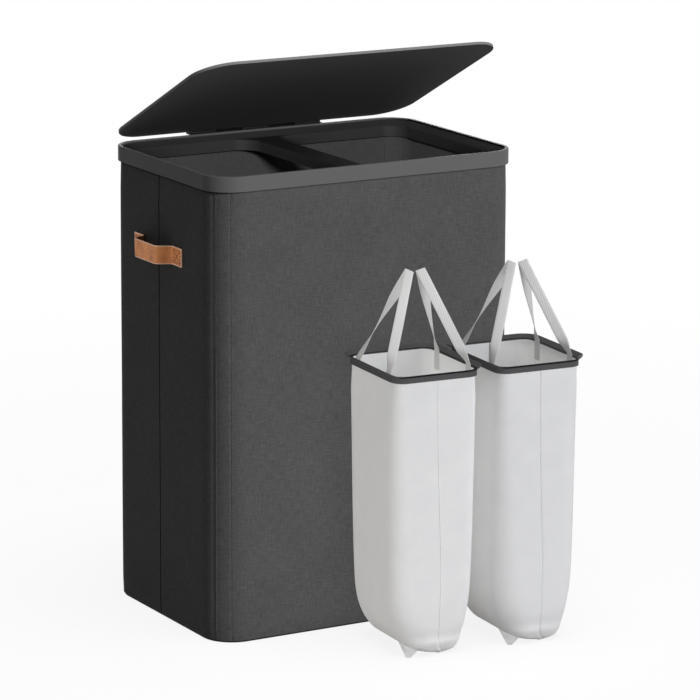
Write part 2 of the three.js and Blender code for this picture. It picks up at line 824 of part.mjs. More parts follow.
/** A folded webbing loop sewn into the bottom seam, lying on the floor beside it. */
function addTab(parent, prefix) {
  const base = bagLean - tabClear;
  const tip = base - tabReach;
  const tipY = -tabForward - tabSkew;
  const outline = shapeOf([
    [base, tabBase / 2 - tabForward], [tip, tipY], [tip + tabHole, tipY - tabHole],
    [base, -tabBase / 2 - tabForward]]);
  const options = { depth: tabThickness, bevelEnabled: false, steps: 1 };
  const tab = new THREE.ExtrudeGeometry(outline, options).translate(0, 0, touchGap);
  addPiece(`${prefix}_pull_tab`, tab, 'webbing', parent);
}

function addBag(number, [x, y]) {
  const bag = new THREE.Group();
  bag.position.set(x, y, 0);
  bag.rotation.z = THREE.MathUtils.degToRad(bagTurnDegrees);
  hamper.add(bag);
  const prefix = `bag_${number}`;
  addRing(bag, prefix);
  addPiece(`${prefix}_left_half`, bagHalf(-1), 'bag', bag);
  addPiece(`${prefix}_right_half`, bagHalf(1), 'bag', bag);
  addStraps(bag, prefix);
  addTab(bag, prefix);
}

addBody();
addRim();
addInnerFrame();
addRimLeaf();
addPin();
addLid();
addHandle('left_handle', -1);
addHandle('right_handle', 1);
bagPlaces.forEach((place, i) => addBag(i + 1, place));

export default hamper;
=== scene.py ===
"""Laundry hamper with two lift-out bags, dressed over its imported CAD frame.

Metres, +Z up, +X to the right along the front, +Y towards the back. The origin is the middle of the
hamper body's underside. Each sub-assembly is a class that holds its sizes and builds its own pieces.
"""

import logging
import math
from contextlib import contextmanager
from dataclasses import dataclass
from enum import Enum
from itertools import product
from typing import Any, Callable, Iterator, Sequence

import bmesh
import bpy
from mathutils import Matrix, Vector, noise


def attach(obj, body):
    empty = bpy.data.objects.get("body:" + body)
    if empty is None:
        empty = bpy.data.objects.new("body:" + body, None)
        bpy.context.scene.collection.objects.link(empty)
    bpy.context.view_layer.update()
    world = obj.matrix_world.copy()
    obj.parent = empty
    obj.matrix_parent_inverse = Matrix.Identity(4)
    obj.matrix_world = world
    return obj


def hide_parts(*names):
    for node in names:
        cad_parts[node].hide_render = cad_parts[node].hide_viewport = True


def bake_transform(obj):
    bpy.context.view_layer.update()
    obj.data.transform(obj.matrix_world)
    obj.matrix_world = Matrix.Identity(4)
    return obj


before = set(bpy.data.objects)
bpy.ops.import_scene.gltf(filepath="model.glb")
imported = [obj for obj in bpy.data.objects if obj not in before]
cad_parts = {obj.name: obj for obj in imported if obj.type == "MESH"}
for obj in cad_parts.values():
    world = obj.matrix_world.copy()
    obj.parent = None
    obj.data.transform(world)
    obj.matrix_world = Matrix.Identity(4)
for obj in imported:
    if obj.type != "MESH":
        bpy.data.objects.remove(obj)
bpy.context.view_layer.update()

MM = 0.001
QUARTER = math.pi / 2
TOLERANCE = 0.3 * MM
Object = bpy.types.Object
Material = bpy.types.Material
Tree = bpy.types.NodeTree
Node = bpy.types.Node
Socket = bpy.types.NodeSocket
Rows = tuple[tuple[float, float], ...]
Test = Callable[[Vector, Any], bool]
Move = Callable[[Vector], Vector]
PlaceOf = Callable[[Vector, Vector], tuple[float, float]]

log = logging.getLogger("hamper")


# Small sums

def smooth(share: float) -> float:
    """A share from 0 to 1, eased at both ends."""
    share = min(max(share, 0.0), 1.0)
    return share * share * (3 - 2 * share)


def table(rows: Rows, at: float) -> float:
    """A value read from a table with smooth slopes between its rows.

    Args:
        rows: Pairs of place and value, the places rising.
        at: The place to read.

    Returns:
        The value there, held level past either end.
    """
    if at <= rows[0][0]:
        return rows[0][1]
    if at >= rows[-1][0]:
        return rows[-1][1]
    slopes = []
    for i, (place, value) in enumerate(rows):
        low = rows[max(i - 1, 0)]
        high = rows[min(i + 1, len(rows) - 1)]
        before = (value - low[1]) / (place - low[0]) if i else 0.0
        after = (high[1] - value) / (high[0] - place) if i < len(rows) - 1 else 0.0
        same_way = before * after > 0
        slopes.append(2 * before * after / (before + after) if same_way else 0.0)
    for i in range(len(rows) - 1):
        (start, low), (end, high) = rows[i], rows[i + 1]
        if at <= end:
            run = end - start
            t = (at - start) / run
            rise = t * t * (3 - 2 * t)
            curve = slopes[i] * t * (1 - t) * (1 - t) - slopes[i + 1] * t * t * (1 - t)
            return low + (high - low) * rise + run * curve
    return rows[-1][1]


@dataclass(frozen=True)
class Outline:
    """A rounded rectangle seen from above."""

    half_x: float
    half_y: float
    corner: float

    @property
    def flat(self) -> tuple[float, float]:
        """Half the straight part of the front and of the side."""
        return self.half_x - self.corner, self.half_y - self.corner

    def grown(self, offset: float) -> "Outline":
        """The outline that lies an offset outside this one."""
        return Outline(self.half_x + offset, self.half_y + offset, self.corner + offset)

    def outside(self, place: Vector) -> float:
        """How far a place lies outside the outline, below zero inside it."""
        x = abs(place.x) - self.flat[0]
        y = abs(place.y) - self.flat[1]
        return math.hypot(max(x, 0), max(y, 0)) + min(max(x, y), 0) - self.corner

    def core(self, place: Vector) -> Vector:
        """The point nearest to a place that lies at least the corner's radius inside the outline."""
        x, y = self.flat
        return Vector((min(max(place.x, -x), x), min(max(place.y, -y), y), place.z))

    def length(self) -> float:
        """The distance once round the outline."""
        straight = 4 * (self.half_x + self.half_y - 2 * self.corner)
        return straight + 2 * math.pi * self.corner

    def run(self, place: Vector) -> float:
        """The distance along the outline to a place, from the middle of the front, rightwards.

        Args:
            place: A point on or near the outline.

        Returns:
            The distance, below zero on the left, up to half the outline's length at the back.
        """
        flat_x, flat_y = self.flat
        x = abs(place.x)
        side = 1 if place.x >= 0 else -1
        arc = self.corner * QUARTER
        if x > flat_x and place.y < -flat_y:
            angle = math.atan2(x - flat_x, -place.y - flat_y)
            along = flat_x + self.corner * angle
        elif x > flat_x and place.y > flat_y:
            angle = math.atan2(place.y - flat_y, x - flat_x)
            along = flat_x + arc + 2 * flat_y + self.corner * angle
        elif x > flat_x - 0.5 * self.corner and abs(place.y) <= flat_y:
            along = flat_x + arc + place.y + flat_y
        elif place.y < 0:
            along = x
        else:
            along = self.length() / 2 - x
        return side * along

    def point(self, along: float) -> Vector:
        """The point at a distance along the outline, from the middle of the front, rightwards."""
        side = 1 if along >= 0 else -1
        left = abs(along)
        flat_x, flat_y = self.flat
        arc = self.corner * QUARTER
        if left <= flat_x:
            return Vector((side * left, -self.half_y, 0))
        left -= flat_x
        if left <= arc:
            angle = left / max(self.corner, MM * MM)
            return Vector((side * (flat_x + self.corner * math.sin(angle)),
                           -flat_y - self.corner * math.cos(angle), 0))
        left -= arc
        if left <= 2 * flat_y:
            return Vector((side * self.half_x, left - flat_y, 0))
        left -= 2 * flat_y
        if left <= arc:
            angle = left / max(self.corner, MM * MM)
            return Vector((side * (flat_x + self.corner * math.cos(angle)),
                           flat_y + self.corner * math.sin(angle), 0))
        left -= arc
        return Vector((side * (flat_x - left), self.half_y, 0))


WALL = Outline(253.95 * MM, 171.9 * MM, 47 * MM)
WALL_TOP = 688.6 * MM
WALL_FLARE = 1.75 * MM
WALL_BULGE = 1.6 * MM
RIM_TOP = 700 * MM
RIM_BACK = 175.7 * MM
TOUCH = 0.3 * MM


# Blender's tools, as a hand would use them

class Kind(Enum):
    """What a selection in edit mode takes."""

    VERT = "VERT"
    EDGE = "EDGE"
    FACE = "FACE"


def focus(piece: Object) -> None:
    """Deselects everything and makes one piece the active one."""
    bpy.ops.object.select_all(action="DESELECT")
    piece.select_set(True)
    bpy.context.view_layer.objects.active = piece


@contextmanager
def editing(piece: Object) -> Iterator[Object]:
    """Opens a piece in edit mode and closes it again.

    Args:
        piece: The piece to edit.

    Yields:
        The same piece.
    """
    focus(piece)
    bpy.ops.object.mode_set(mode="EDIT")
    try:
        yield piece
    finally:
        bpy.ops.object.mode_set(mode="OBJECT")


def middle(item: Any) -> Vector:
    """The middle of a vertex, an edge or a face."""
    if isinstance(item, bmesh.types.BMVert):
        return item.co
    if isinstance(item, bmesh.types.BMEdge):
        return (item.verts[0].co + item.verts[1].co) / 2
    return item.calc_center_median()


def pick(kind: Kind, test: Test = lambda place, item: True) -> None:
    """Selects, in edit mode, the items that pass a test and nothing else.

    Args:
        kind: Whether vertices, edges or faces are picked.
        test: Takes the item's middle and the item, and says whether it is wanted. By default all are.
    """
    bpy.ops.mesh.select_mode(type=kind.value)
    bpy.ops.mesh.select_all(action="DESELECT")
    data = bpy.context.edit_object.data
    mesh = bmesh.from_edit_mesh(data)
    items = {Kind.VERT: mesh.verts, Kind.EDGE: mesh.edges, Kind.FACE: mesh.faces}[kind]
    for item in [item for item in items if test(middle(item), item)]:
        item.select_set(True)
    mesh.select_flush_mode()
    bmesh.update_edit_mesh(data)


def pick_all() -> None:
    """Selects the whole mesh in edit mode."""
    bpy.ops.mesh.select_all(action="SELECT")


def level(edge: bmesh.types.BMEdge) -> bool:
    """Whether an edge lies level."""
    return abs(edge.verts[0].co.z - edge.verts[1].co.z) < TOLERANCE


def upright(edge: bmesh.types.BMEdge) -> bool:
    """Whether an edge stands almost straight up."""
    span = edge.verts[1].co - edge.verts[0].co
    return abs(span.z) > 0.8 * span.length


def sharp(edge: bmesh.types.BMEdge, degrees: float = 30) -> bool:
    """Whether the two faces at an edge meet at more than an angle."""
    return len(edge.link_faces) == 2 and edge.calc_face_angle(0) > math.radians(degrees)


def rename(piece: Object, name: str) -> Object:
    """Gives a piece and its mesh a name."""
    piece.name = name
    piece.data.name = name
    return piece


def primitive(operator: Callable[..., Any], name: str, **settings: Any) -> Object:
    """Adds one of Blender's primitives and names it.

    Args:
        operator: The operator that adds it.
        name: The piece's name.
        **settings: The operator's settings.

    Returns:
        The new piece.
    """
    bpy.ops.object.select_all(action="DESELECT")
    operator(**settings)
    return rename(bpy.context.object, name)


def twin(first: Object, name: str) -> Object:
    """A copy of a piece, with a mesh of its own."""
    piece = first.copy()
    piece.data = first.data.copy()
    bpy.context.scene.collection.objects.link(piece)
    return rename(piece, name)


def join(parts: Sequence[Object]) -> Object:
    """Joins pieces into the first of them."""
    focus(parts[0])
    for part in parts:
        part.select_set(True)
    bpy.ops.object.join()
    return parts[0]


def direction(azimuth: float, elevation: float) -> Vector:
    """The way from the object to what stands at an azimuth and an elevation, in degrees."""
    turn = math.radians(azimuth)
    tilt = math.radians(elevation)
    return Vector((math.sin(turn) * math.cos(tilt), -math.cos(turn) * math.cos(tilt), math.sin(tilt)))


def rounded_plate(name: str, outline: Outline, height: float, steps: int) -> Object:
    """A flat rounded rectangle: a plane at its size and place with its corners bevelled.

    Args:
        name: The piece's name.
        outline: The plate's outline.
        height: How high it lies.
        steps: How many edges round each corner.

    Returns:
        The new piece, its one face turned up.
    """
    piece = primitive(bpy.ops.mesh.primitive_plane_add, name, size=1)
    with editing(piece):
        pick_all()
        bpy.ops.transform.resize(value=(2 * outline.half_x, 2 * outline.half_y, 1))
        bpy.ops.transform.translate(value=(0, 0, height))
        bpy.ops.mesh.bevel(offset=outline.corner, segments=steps, affect="VERTICES")
    return piece


def extrude(rise: float) -> None:
    """Extrudes what is selected straight up."""
    bpy.ops.mesh.extrude_region_move(TRANSFORM_OT_translate={"value": (0, 0, rise)})


def thicken(distance: float) -> None:
    """Extrudes the selected faces along their own normals."""
    bpy.ops.mesh.extrude_region_shrink_fatten(
        TRANSFORM_OT_shrink_fatten={"value": distance, "use_even_offset": True})


def round_edges(width: float, steps: int = 3, clamp: bool = True) -> None:
    """Rounds the selected edges, less where they would overlap if clamp is set."""
    bpy.ops.mesh.bevel(offset=width, segments=steps, affect="EDGES", clamp_overlap=clamp)


def modify(piece: Object, kind: str, **settings: Any) -> None:
    """Adds a modifier, sets it and applies it.

    Args:
        piece: The piece to change.
        kind: The modifier's type.
        **settings: Its settings by name.
    """
    focus(piece)
    bpy.ops.object.modifier_add(type=kind)
    modifier = piece.modifiers[-1]
    for name, value in settings.items():
        setattr(modifier, name, value)
    bpy.ops.object.modifier_apply(modifier=modifier.name)


def reshape(piece: Object, move: Move) -> None:
    """Moves every vertex of a piece to where a function of its place says."""
    for vertex in piece.data.vertices:
        vertex.co = move(vertex.co.copy())
    piece.data.update()


def tidy(piece: Object) -> None:
    """Merges doubles and turns all the faces outwards."""
    with editing(piece):
        pick_all()
        bpy.ops.mesh.remove_doubles(threshold=0.01 * MM)
        bpy.ops.mesh.normals_make_consistent(inside=False)


def slab(name: str, outline: Outline, low: float, thickness: float, rounding: float,
         steps: int) -> Object:
    """A flat board in an outline, with rounded edges.

    Args:
        name: The piece's name.
        outline: The board's outline.
        low: The height of its underside.
        thickness: How thick it is.
        rounding: How wide its edges are rounded.
        steps: How many edges round each corner.

    Returns:
        The board, without a finish.
    """
    piece = rounded_plate(name, outline, low, steps)
    with editing(piece):
        pick(Kind.FACE)
        extrude(thickness)
        pick(Kind.EDGE, lambda place, edge: level(edge) and sharp(edge))
        round_edges(rounding)
    tidy(piece)
    return piece


def polish(piece: Object, degrees: float = 35, weighted: bool = False) -> None:
    """Shades a piece smooth up to an angle.

    Args:
        piece: The piece to shade.
        degrees: The sharpest angle that is still smooth.
        weighted: Whether large flat faces keep their own normal.
    """
    focus(piece)
    bpy.ops.object.shade_smooth_by_angle(angle=math.radians(degrees))
    if weighted:
        modify(piece, "WEIGHTED_NORMAL", keep_sharp=True)


def lay_pattern(piece: Object, place_of: PlaceOf) -> None:
    """Gives a piece a pattern map, in metres, for weaves and ribs.

    Args:
        piece: The piece to map.
        place_of: Takes a corner's place and its face's middle, and gives its place in the pattern.
    """
    layer = piece.data.uv_layers.get("pattern") or piece.data.uv_layers.new(name="pattern")
    for face in piece.data.polygons:
        for loop in face.loop_indices:
            corner = piece.data.vertices[piece.data.loops[loop].vertex_index].co
            layer.data[loop].uv = place_of(corner, face.center)


def wrap_map(outline: Outline) -> PlaceOf:
    """A pattern map that goes round an outline and up, as a function for lay_pattern."""
    whole = outline.length()

    def place_of(corner: Vector, face: Vector) -> tuple[float, float]:
        """The place in the pattern, on the same side of the back seam as the face."""
        along = outline.run(corner)
        about = outline.run(face)
        if abs(along - about) > whole / 2:
            along += whole if about > 0 else -whole
        return along, corner.z

    return place_of


def stand_for(piece: Object, body: str, slot: str, *nodes: str) -> None:
    """Says which body a piece rides on and the CAD nodes it stands for."""
    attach(piece, body)
    if nodes:
        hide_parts(*nodes)
    log.info("%s: rides on %s, stands for %s", piece.name, body, ", ".join(nodes) or "no node")


# Finishes

def linear(colour: str, alpha: float = 1.0) -> tuple[float, float, float, float]:
    """A hex sRGB colour as the linear colour that Blender's sockets take."""
    parts = []
    for i in (0, 2, 4):
        value = int(colour[i:i + 2], 16) / 255
        parts.append(value / 12.92 if value <= 0.04045 else ((value + 0.055) / 1.055) ** 2.4)
    return parts[0], parts[1], parts[2], alpha


def add(tree: Tree, kind: str, settings: dict[Any, Any] | None = None,
        links: dict[Any, Socket] | None = None) -> Node:
    """Adds a node with its settings and links.

    Args:
        tree: The node tree to add to.
        kind: The node's type, without its ShaderNode prefix.
        settings: Values by setting name, or by input name or number. "stops" holds a ramp's stops.
        links: Output sockets by the name or number of the input that each goes to.

    Returns:
        The new node.
    """
    node = tree.nodes.new("ShaderNode" + kind)
    for key, value in (settings or {}).items():
        if key == "stops":
            for i, (place, colour) in enumerate(value):
                stops = node.color_ramp.elements
                stop = stops[i] if i < len(stops) else stops.new(place)
                stop.position = place
                stop.color = linear(colour)
        elif isinstance(key, str) and hasattr(node, key):
            setattr(node, key, value)
        else:
            node.inputs[key].default_value = value
    for key, socket in (links or {}).items():
        tree.links.new(socket, node.inputs[key])
    return node


def object_place(tree: Tree) -> Socket:
    """The place on the object, in metres."""
    return add(tree, "TexCoord").outputs["Object"]


def cloudy(tree: Tree, place: Socket, size: float, detail: float, roughness: float = 0.5) -> Socket:
    """Noise from 0 to 1 with patches of a size.

    Args:
        tree: The node tree to add to.
        place: Where the noise is read.
        size: How wide a patch is, in the units of the place.
        detail: How many times finer noise is laid over it.
        roughness: How strong the finer noise is.

    Returns:
        The noise.
    """
    return add(tree, "TexNoise", {"Scale": 1 / size, "Detail": detail, "Roughness": roughness},
               {"Vector": place}).outputs["Fac"]


def weighed(tree: Tree, value: Socket, weight: float, base: Socket) -> Socket:
    """A value times a weight, plus a base."""
    return add(tree, "Math", {"operation": "MULTIPLY_ADD", 1: weight},
               {0: value, 2: base}).outputs["Value"]


def spread(tree: Tree, value: Socket, low: float, high: float) -> Socket:
    """A value from 0 to 1, spread from a low to a high number."""
    return add(tree, "MapRange", {"To Min": low, "To Max": high}, {"Value": value}).outputs["Result"]


def ramped(tree: Tree, value: Socket, *stops: tuple[float, str]) -> Socket:
    """The colour of a ramp at a value, its stops given as place and colour."""
    return add(tree, "ValToRGB", {"stops": stops}, {"Fac": value}).outputs["Color"]


@dataclass(frozen=True)
class Finish:
    """What every finish shares: its name and the plain values of its surface.

    Gloss is low for cloth and for matt moulded faces, whose fine relief scatters most of the shine.
    """

    name: str
    colour: str
    roughness: float = 0.5
    metallic: float = 0.0
    ior: float = 1.5
    gloss: float = 0.5

    def material(self) -> Material:
        """The finish's material, made once."""
        made = bpy.data.materials.get(self.name)
        if made:
            return made
        made = bpy.data.materials.new(self.name)
        made.use_nodes = True
        made.diffuse_color = linear(self.colour)
        tree = made.node_tree
        tree.nodes.clear()
        shader = add(tree, "BsdfPrincipled", {
            "Base Color": linear(self.colour), "Roughness": self.roughness,
            "Metallic": self.metallic, "IOR": self.ior, "Specular IOR Level": self.gloss})
        add(tree, "OutputMaterial", links={"Surface": shader.outputs["BSDF"]})
        self.dress(tree, shader)
        return made

    def dress(self, tree: Tree, shader: Node) -> None:
        """Adds the finish's own pattern. A plain finish has none."""

    def emboss(self, tree: Tree, shader: Node, height: Socket, strength: float, depth: float) -> None:
        """Adds a relief.

        Args:
            tree: The finish's node tree.
            shader: The finish's shader.
            height: The relief's height, from 0 to 1.
            strength: How much of the relief shows.
            depth: How deep it is, in metres.
        """
        bump = add(tree, "Bump", {"Strength": strength, "Distance": depth}, {"Height": height})
        tree.links.new(bump.outputs["Normal"], shader.inputs["Normal"])

    def vary(self, tree: Tree, shader: Node, value: Socket, drift: float,
             dull: tuple[float, float]) -> None:
        """Lets the tone and the roughness change with a value from 0 to 1.

        Args:
            tree: The finish's node tree.
            shader: The finish's shader.
            value: What they change with.
            drift: The tone's change either way, as a share.
            dull: The roughness at 0 and at 1, less the finish's own.
        """
        tone = add(tree, "HueSaturation", {"Color": linear(self.colour)},
                   {"Value": spread(tree, value, 1 - drift, 1 + drift)})
        tree.links.new(tone.outputs["Color"], shader.inputs["Base Color"])
        rough = spread(tree, value, self.roughness + dull[0], self.roughness + dull[1])
        tree.links.new(rough, shader.inputs["Roughness"])

    def put_on(self, piece: Object) -> None:
        """Adds the finish to a piece, after the finishes it already has."""
        piece.data.materials.append(self.material())

    def put_on_with(self, piece: Object, other: "Finish", test: Callable[[Any], bool]) -> None:
        """Adds the finish to a piece, and another to the faces that pass a test.

        Args:
            piece: The piece to finish.
            other: The second finish.
            test: Takes a face and says whether it gets the second finish.
        """
        self.put_on(piece)
        other.put_on(piece)
        for face in piece.data.polygons:
            face.material_index = int(test(face))


@dataclass(frozen=True)
class Woven(Finish):
    """Cloth with threads both ways, which give the eye fine uneven lines and a dry, dark face."""

    light: str = "606063"
    thread: float = 1.7 * MM
    slub: float = 16 * MM
    patch: float = 70 * MM
    patch_weight: float = 0.35
    depth: float = 0.12 * MM
    sheen: float = 0.15

    def dress(self, tree: Tree, shader: Node) -> None:
        """Adds warp and weft threads, a broad mottle and the weave's relief."""
        shader.inputs["Sheen Weight"].default_value = self.sheen
        shader.inputs["Sheen Roughness"].default_value = 0.5
        place = add(tree, "UVMap", {"uv_map": "pattern"}).outputs["UV"]
        threads = []
        for across, along in ((self.thread, self.slub), (self.slub, self.thread)):
            drawn = add(tree, "Mapping", {"Scale": (1 / across, 1 / along, 1)}, {"Vector": place})
            threads.append(cloudy(tree, drawn.outputs["Vector"], 1, 2, 0.6))
        weave = weighed(tree, threads[0], 1, threads[1])
        mixed = weighed(tree, cloudy(tree, place, self.patch, 3), self.patch_weight, weave)
        halved = add(tree, "Math", {"operation": "MULTIPLY", 1: 0.5}, {0: mixed}).outputs["Value"]
        colour = ramped(tree, halved, (0.35, self.colour), (0.85, self.light))
        tree.links.new(colour, shader.inputs["Base Color"])
        self.emboss(tree, shader, weave, 0.5, self.depth)


@dataclass(frozen=True)
class Moulded(Finish):
    """Moulded plastic with a spark-eroded face, which gives a soft, even gloss without grain."""

    grain: float = 1.2 * MM
    patch: float = 80 * MM
    depth: float = 0.02 * MM
    drift: float = 0.06

    def dress(self, tree: Tree, shader: Node) -> None:
        """Adds the eroded grain and a slow drift of tone and gloss."""
        place = object_place(tree)
        self.vary(tree, shader, cloudy(tree, place, self.patch, 2), self.drift, (-0.05, 0.07))
        self.emboss(tree, shader, cloudy(tree, place, self.grain, 2), 0.4, self.depth)


@dataclass(frozen=True)
class Brushed(Finish):
    """A surface with a fine grain one way, which gives faint streaks along it."""

    streak: tuple[float, float, float] = (1.6 * MM, 60 * MM, 60 * MM)
    drift: float = 0.12
    depth: float = 0.02 * MM

    def dress(self, tree: Tree, shader: Node) -> None:
        """Adds the streaks to the tone, the gloss and the relief."""
        drawn = add(tree, "Mapping", {"Scale": tuple(1 / size for size in self.streak)},
                    {"Vector": object_place(tree)})
        streaks = cloudy(tree, drawn.outputs["Vector"], 1, 3)
        self.vary(tree, shader, streaks, self.drift, (-0.06, 0.06))
        self.emboss(tree, shader, streaks, 0.3, self.depth)


@dataclass(frozen=True)
class Felted(Finish):
    """Bonded fibre cloth, thin and pale, which gives a soft face with faint clouding and fibres."""

    shade: str = "d6d6da"
    fibre: float = 1.4 * MM
    fibre_weight: float = 0.35
    cloud: float = 35 * MM
    depth: float = 0.05 * MM
    glow: float = 0.0
    glow_depth: float = 12 * MM

    def dress(self, tree: Tree, shader: Node) -> None:
        """Adds clouding, fibres and the light that a thin cloth lets through."""
        place = object_place(tree)
        fibres = cloudy(tree, place, self.fibre, 3, 0.7)
        both = weighed(tree, fibres, self.fibre_weight, cloudy(tree, place, self.cloud, 3))
        colour = ramped(tree, both, (0.4, self.shade), (0.95, self.colour))
        tree.links.new(colour, shader.inputs["Base Color"])
        self.emboss(tree, shader, fibres, 0.35, self.depth)
        if self.glow:
            shader.inputs["Subsurface Weight"].default_value = self.glow
            shader.inputs["Subsurface Radius"].default_value = (1.0, 0.9, 0.8)
            shader.inputs["Subsurface Scale"].default_value = self.glow_depth


@dataclass(frozen=True)
class Ribbed(Finish):
    """Woven tape with slanting ribs, which give fine light and dark lines across it."""

    shade: str = "c4c4c5"
    rib: float = 2.6 * MM
    slant: float = 0.9
    painted_shade_from: float = 50 * MM
    painted_shade_to: float = 150 * MM
    painted_shade_tone: float = 0.74
    depth: float = 0.06 * MM

    def dress(self, tree: Tree, shader: Node) -> None:
        """Adds the slanting ribs, drawn coarser than the real 1 mm, and paints shade on both ends of the
        tape, darker towards its feet.
        """
        place = add(tree, "UVMap", {"uv_map": "pattern"}).outputs["UV"]
        turned = add(tree, "Mapping", {"Rotation": (0, 0, self.slant)}, {"Vector": place})
        ribs = add(tree, "TexWave", {"Scale": 1 / self.rib / math.tau * 2, "Distortion": 0.6,
                                     "Detail": 1, "Detail Scale": 2},
                   {"Vector": turned.outputs["Vector"]}).outputs["Fac"]
        # Painted shade: the tape's colour darkens from 50 mm to 150 mm out from its middle, towards both
        # feet.
        along = add(tree, "SeparateXYZ", links={"Vector": place})
        apart = add(tree, "Math", {"operation": "ABSOLUTE"}, {0: along.outputs["X"]})
        low = add(tree, "MapRange", {"From Min": self.painted_shade_from, "From Max": self.painted_shade_to,
                                     "To Min": 1, "To Max": self.painted_shade_tone},
                  {"Value": apart.outputs["Value"]})
        tone = add(tree, "HueSaturation", links={
            "Color": ramped(tree, ribs, (0.1, self.shade), (0.9, self.colour)),
            "Value": low.outputs["Result"]})
        tree.links.new(tone.outputs["Color"], shader.inputs["Base Color"])
        self.emboss(tree, shader, ribs, 0.3, self.depth)


@dataclass(frozen=True)
class Leather(Finish):
    """Full-grain leather, dyed through, which gives a pebbled face and an uneven tan."""

    dark: str = "70402a"
    bright: str = "b06a3a"
    pebble: float = 1.5 * MM
    pebble_weight: float = 0.7
    patch: float = 18 * MM
    depth: float = 0.25 * MM

    def dress(self, tree: Tree, shader: Node) -> None:
        """Adds the dye's patches, the pebbled grain and its creases."""
        place = object_place(tree)
        pebbles = add(tree, "TexVoronoi", {"Scale": 1 / self.pebble, "feature": "DISTANCE_TO_EDGE"},
                      {"Vector": place})
        creases = add(tree, "Math", {"operation": "MINIMUM", 1: 0.25},
                      {0: pebbles.outputs["Distance"]}).outputs["Value"]
        mixed = weighed(tree, creases, self.pebble_weight, cloudy(tree, place, self.patch, 4, 0.65))
        colour = ramped(tree, mixed, (0.3, self.dark), (0.55, self.colour), (0.85, self.bright))
        tree.links.new(colour, shader.inputs["Base Color"])
        self.emboss(tree, shader, creases, 0.6, self.depth)


COVER_CLOTH = Woven("woven_polyester_linen_look", "49494a", 0.9, gloss=0.1, light="696969")
LINING_CLOTH = Woven("woven_polyester_lining", "555556", 0.9, gloss=0.1, light="6b6b6c", sheen=0.1)
RIM_PLASTIC = Moulded("moulded_polypropylene_charcoal", "69696a", 0.6, gloss=0.15)
# Painted shade: the same plastic as the rim, in a darker grey for the shade inside the openings.
FRAME_PLASTIC_SHADED = Moulded("moulded_polypropylene_frame_painted_shade", "383839", 0.6, gloss=0.15)
RING_PLASTIC = Moulded("moulded_polypropylene_ring", "4b4b4c", 0.6, gloss=0.2)
LID_BOARD = Brushed("laminated_board_black", "606061", 0.85, gloss=0.1)
# Painted highlight: a lighter grey for the light that the lid's rounded edge catches.
LID_EDGE_HIGHLIGHT = Brushed("painted_highlight_lid_edge_grey", "8e8e8f", 0.6, gloss=0.15)
HINGE_PLASTIC = Moulded("moulded_nylon_hinge", "1c1c1d", 0.6, gloss=0.15)
STEEL = Brushed("brushed_zinc_plated_steel", "9c9da0", 0.32, metallic=1.0,
                streak=(20 * MM, 1.2 * MM, 1.2 * MM))
# Painted shade: near-black for the contact shadow along the body's bottom edge.
BASE_CLOTH_SHADED = Felted("bonded_polypropylene_base_painted_shade", "1b1b1d", 0.9, shade="121214")
FLOOR_CLOTH = Felted("bonded_polyester_floor_board", "38383b", 0.9, shade="2e2e31")
GREY_BOARD = Felted("pressed_grey_board", "8f8069", 0.9, shade="75674f", fibre=2.5 * MM)
BAG_CLOTH = Felted("bonded_polyester_bag_cloth", "f0f0f0", 0.85, shade="ebebec", glow=0.25)
# Partly painted shade: grey for the seam thread and for the shadow in the seam's groove.
SEAM_THREAD_AND_SHADE = Moulded("seam_thread_and_painted_shade_grey", "7d7d80", 0.7, grain=0.8 * MM, drift=0.15)
WEBBING = Ribbed("woven_polypropylene_webbing", "e8e8e8", 0.7, shade="d2d2d3")
# Painted shade: near-black for the shadowed top edge of each bag's ring.
RING_EDGE_SHADE = Moulded("painted_shade_ring_edge_black", "19191a", 0.8, gloss=0.1, drift=0.15)
TAN_LEATHER = Leather("full_grain_tan_leather", "bb7540", 0.55, dark="8e502c", bright="d2884c")
LEATHER_EDGE = Moulded("edge_paint_on_leather", "d2ab92", 0.5, drift=0.1)
LEATHER_THREAD = Moulded("waxed_thread_brown", "5c2e1c", 0.6, grain=0.8 * MM, drift=0.15)
# Painted shade: near-black for the shadow down each side crease of the cover.
CREASE_SHADE = Moulded("painted_shade_crease_black", "161617", 0.8, gloss=0.1, grain=0.8 * MM,
                        drift=0.15)


# The room

@dataclass(frozen=True)
class Lamp:
    """A soft disc of light that points at the object, lighting only the pieces it is given."""

    name: str
    azimuth: float
    elevation: float
    power: float
    colour: str = "ffffff"
    distance: float = 6
    size: float = 3
    aim: tuple[float, float, float] = (0, -0.1, 0.35)

    def hang(self, lit: Sequence[Object], shading: Sequence[Object]) -> None:
        """Places the lamp and links it to the pieces that it lights and that shade it.

        Args:
            lit: The pieces that take this lamp's light.
            shading: The pieces that cast its shadows.
        """
        data = bpy.data.lights.new(self.name, "AREA")
        data.shape = "DISK"
        data.size = self.size
        data.energy = self.power
        data.color = linear(self.colour)[:3]
        lamp = bpy.data.objects.new(self.name, data)
        bpy.context.scene.collection.objects.link(lamp)
        way = direction(self.azimuth, self.elevation)
        lamp.location = Vector(self.aim) + way * self.distance
        lamp.rotation_euler = way.to_track_quat("Z", "Y").to_euler()
        links = lamp.light_linking
        links.receiver_collection = bpy.data.collections.new(self.name + "_lights")
        links.blocker_collection = bpy.data.collections.new(self.name + "_shades")
        for group, pieces in ((links.receiver_collection, lit), (links.blocker_collection, shading)):
            for piece in pieces:
                group.objects.link(piece)
        log.info("%s: lights %d pieces", self.name, len(lit))


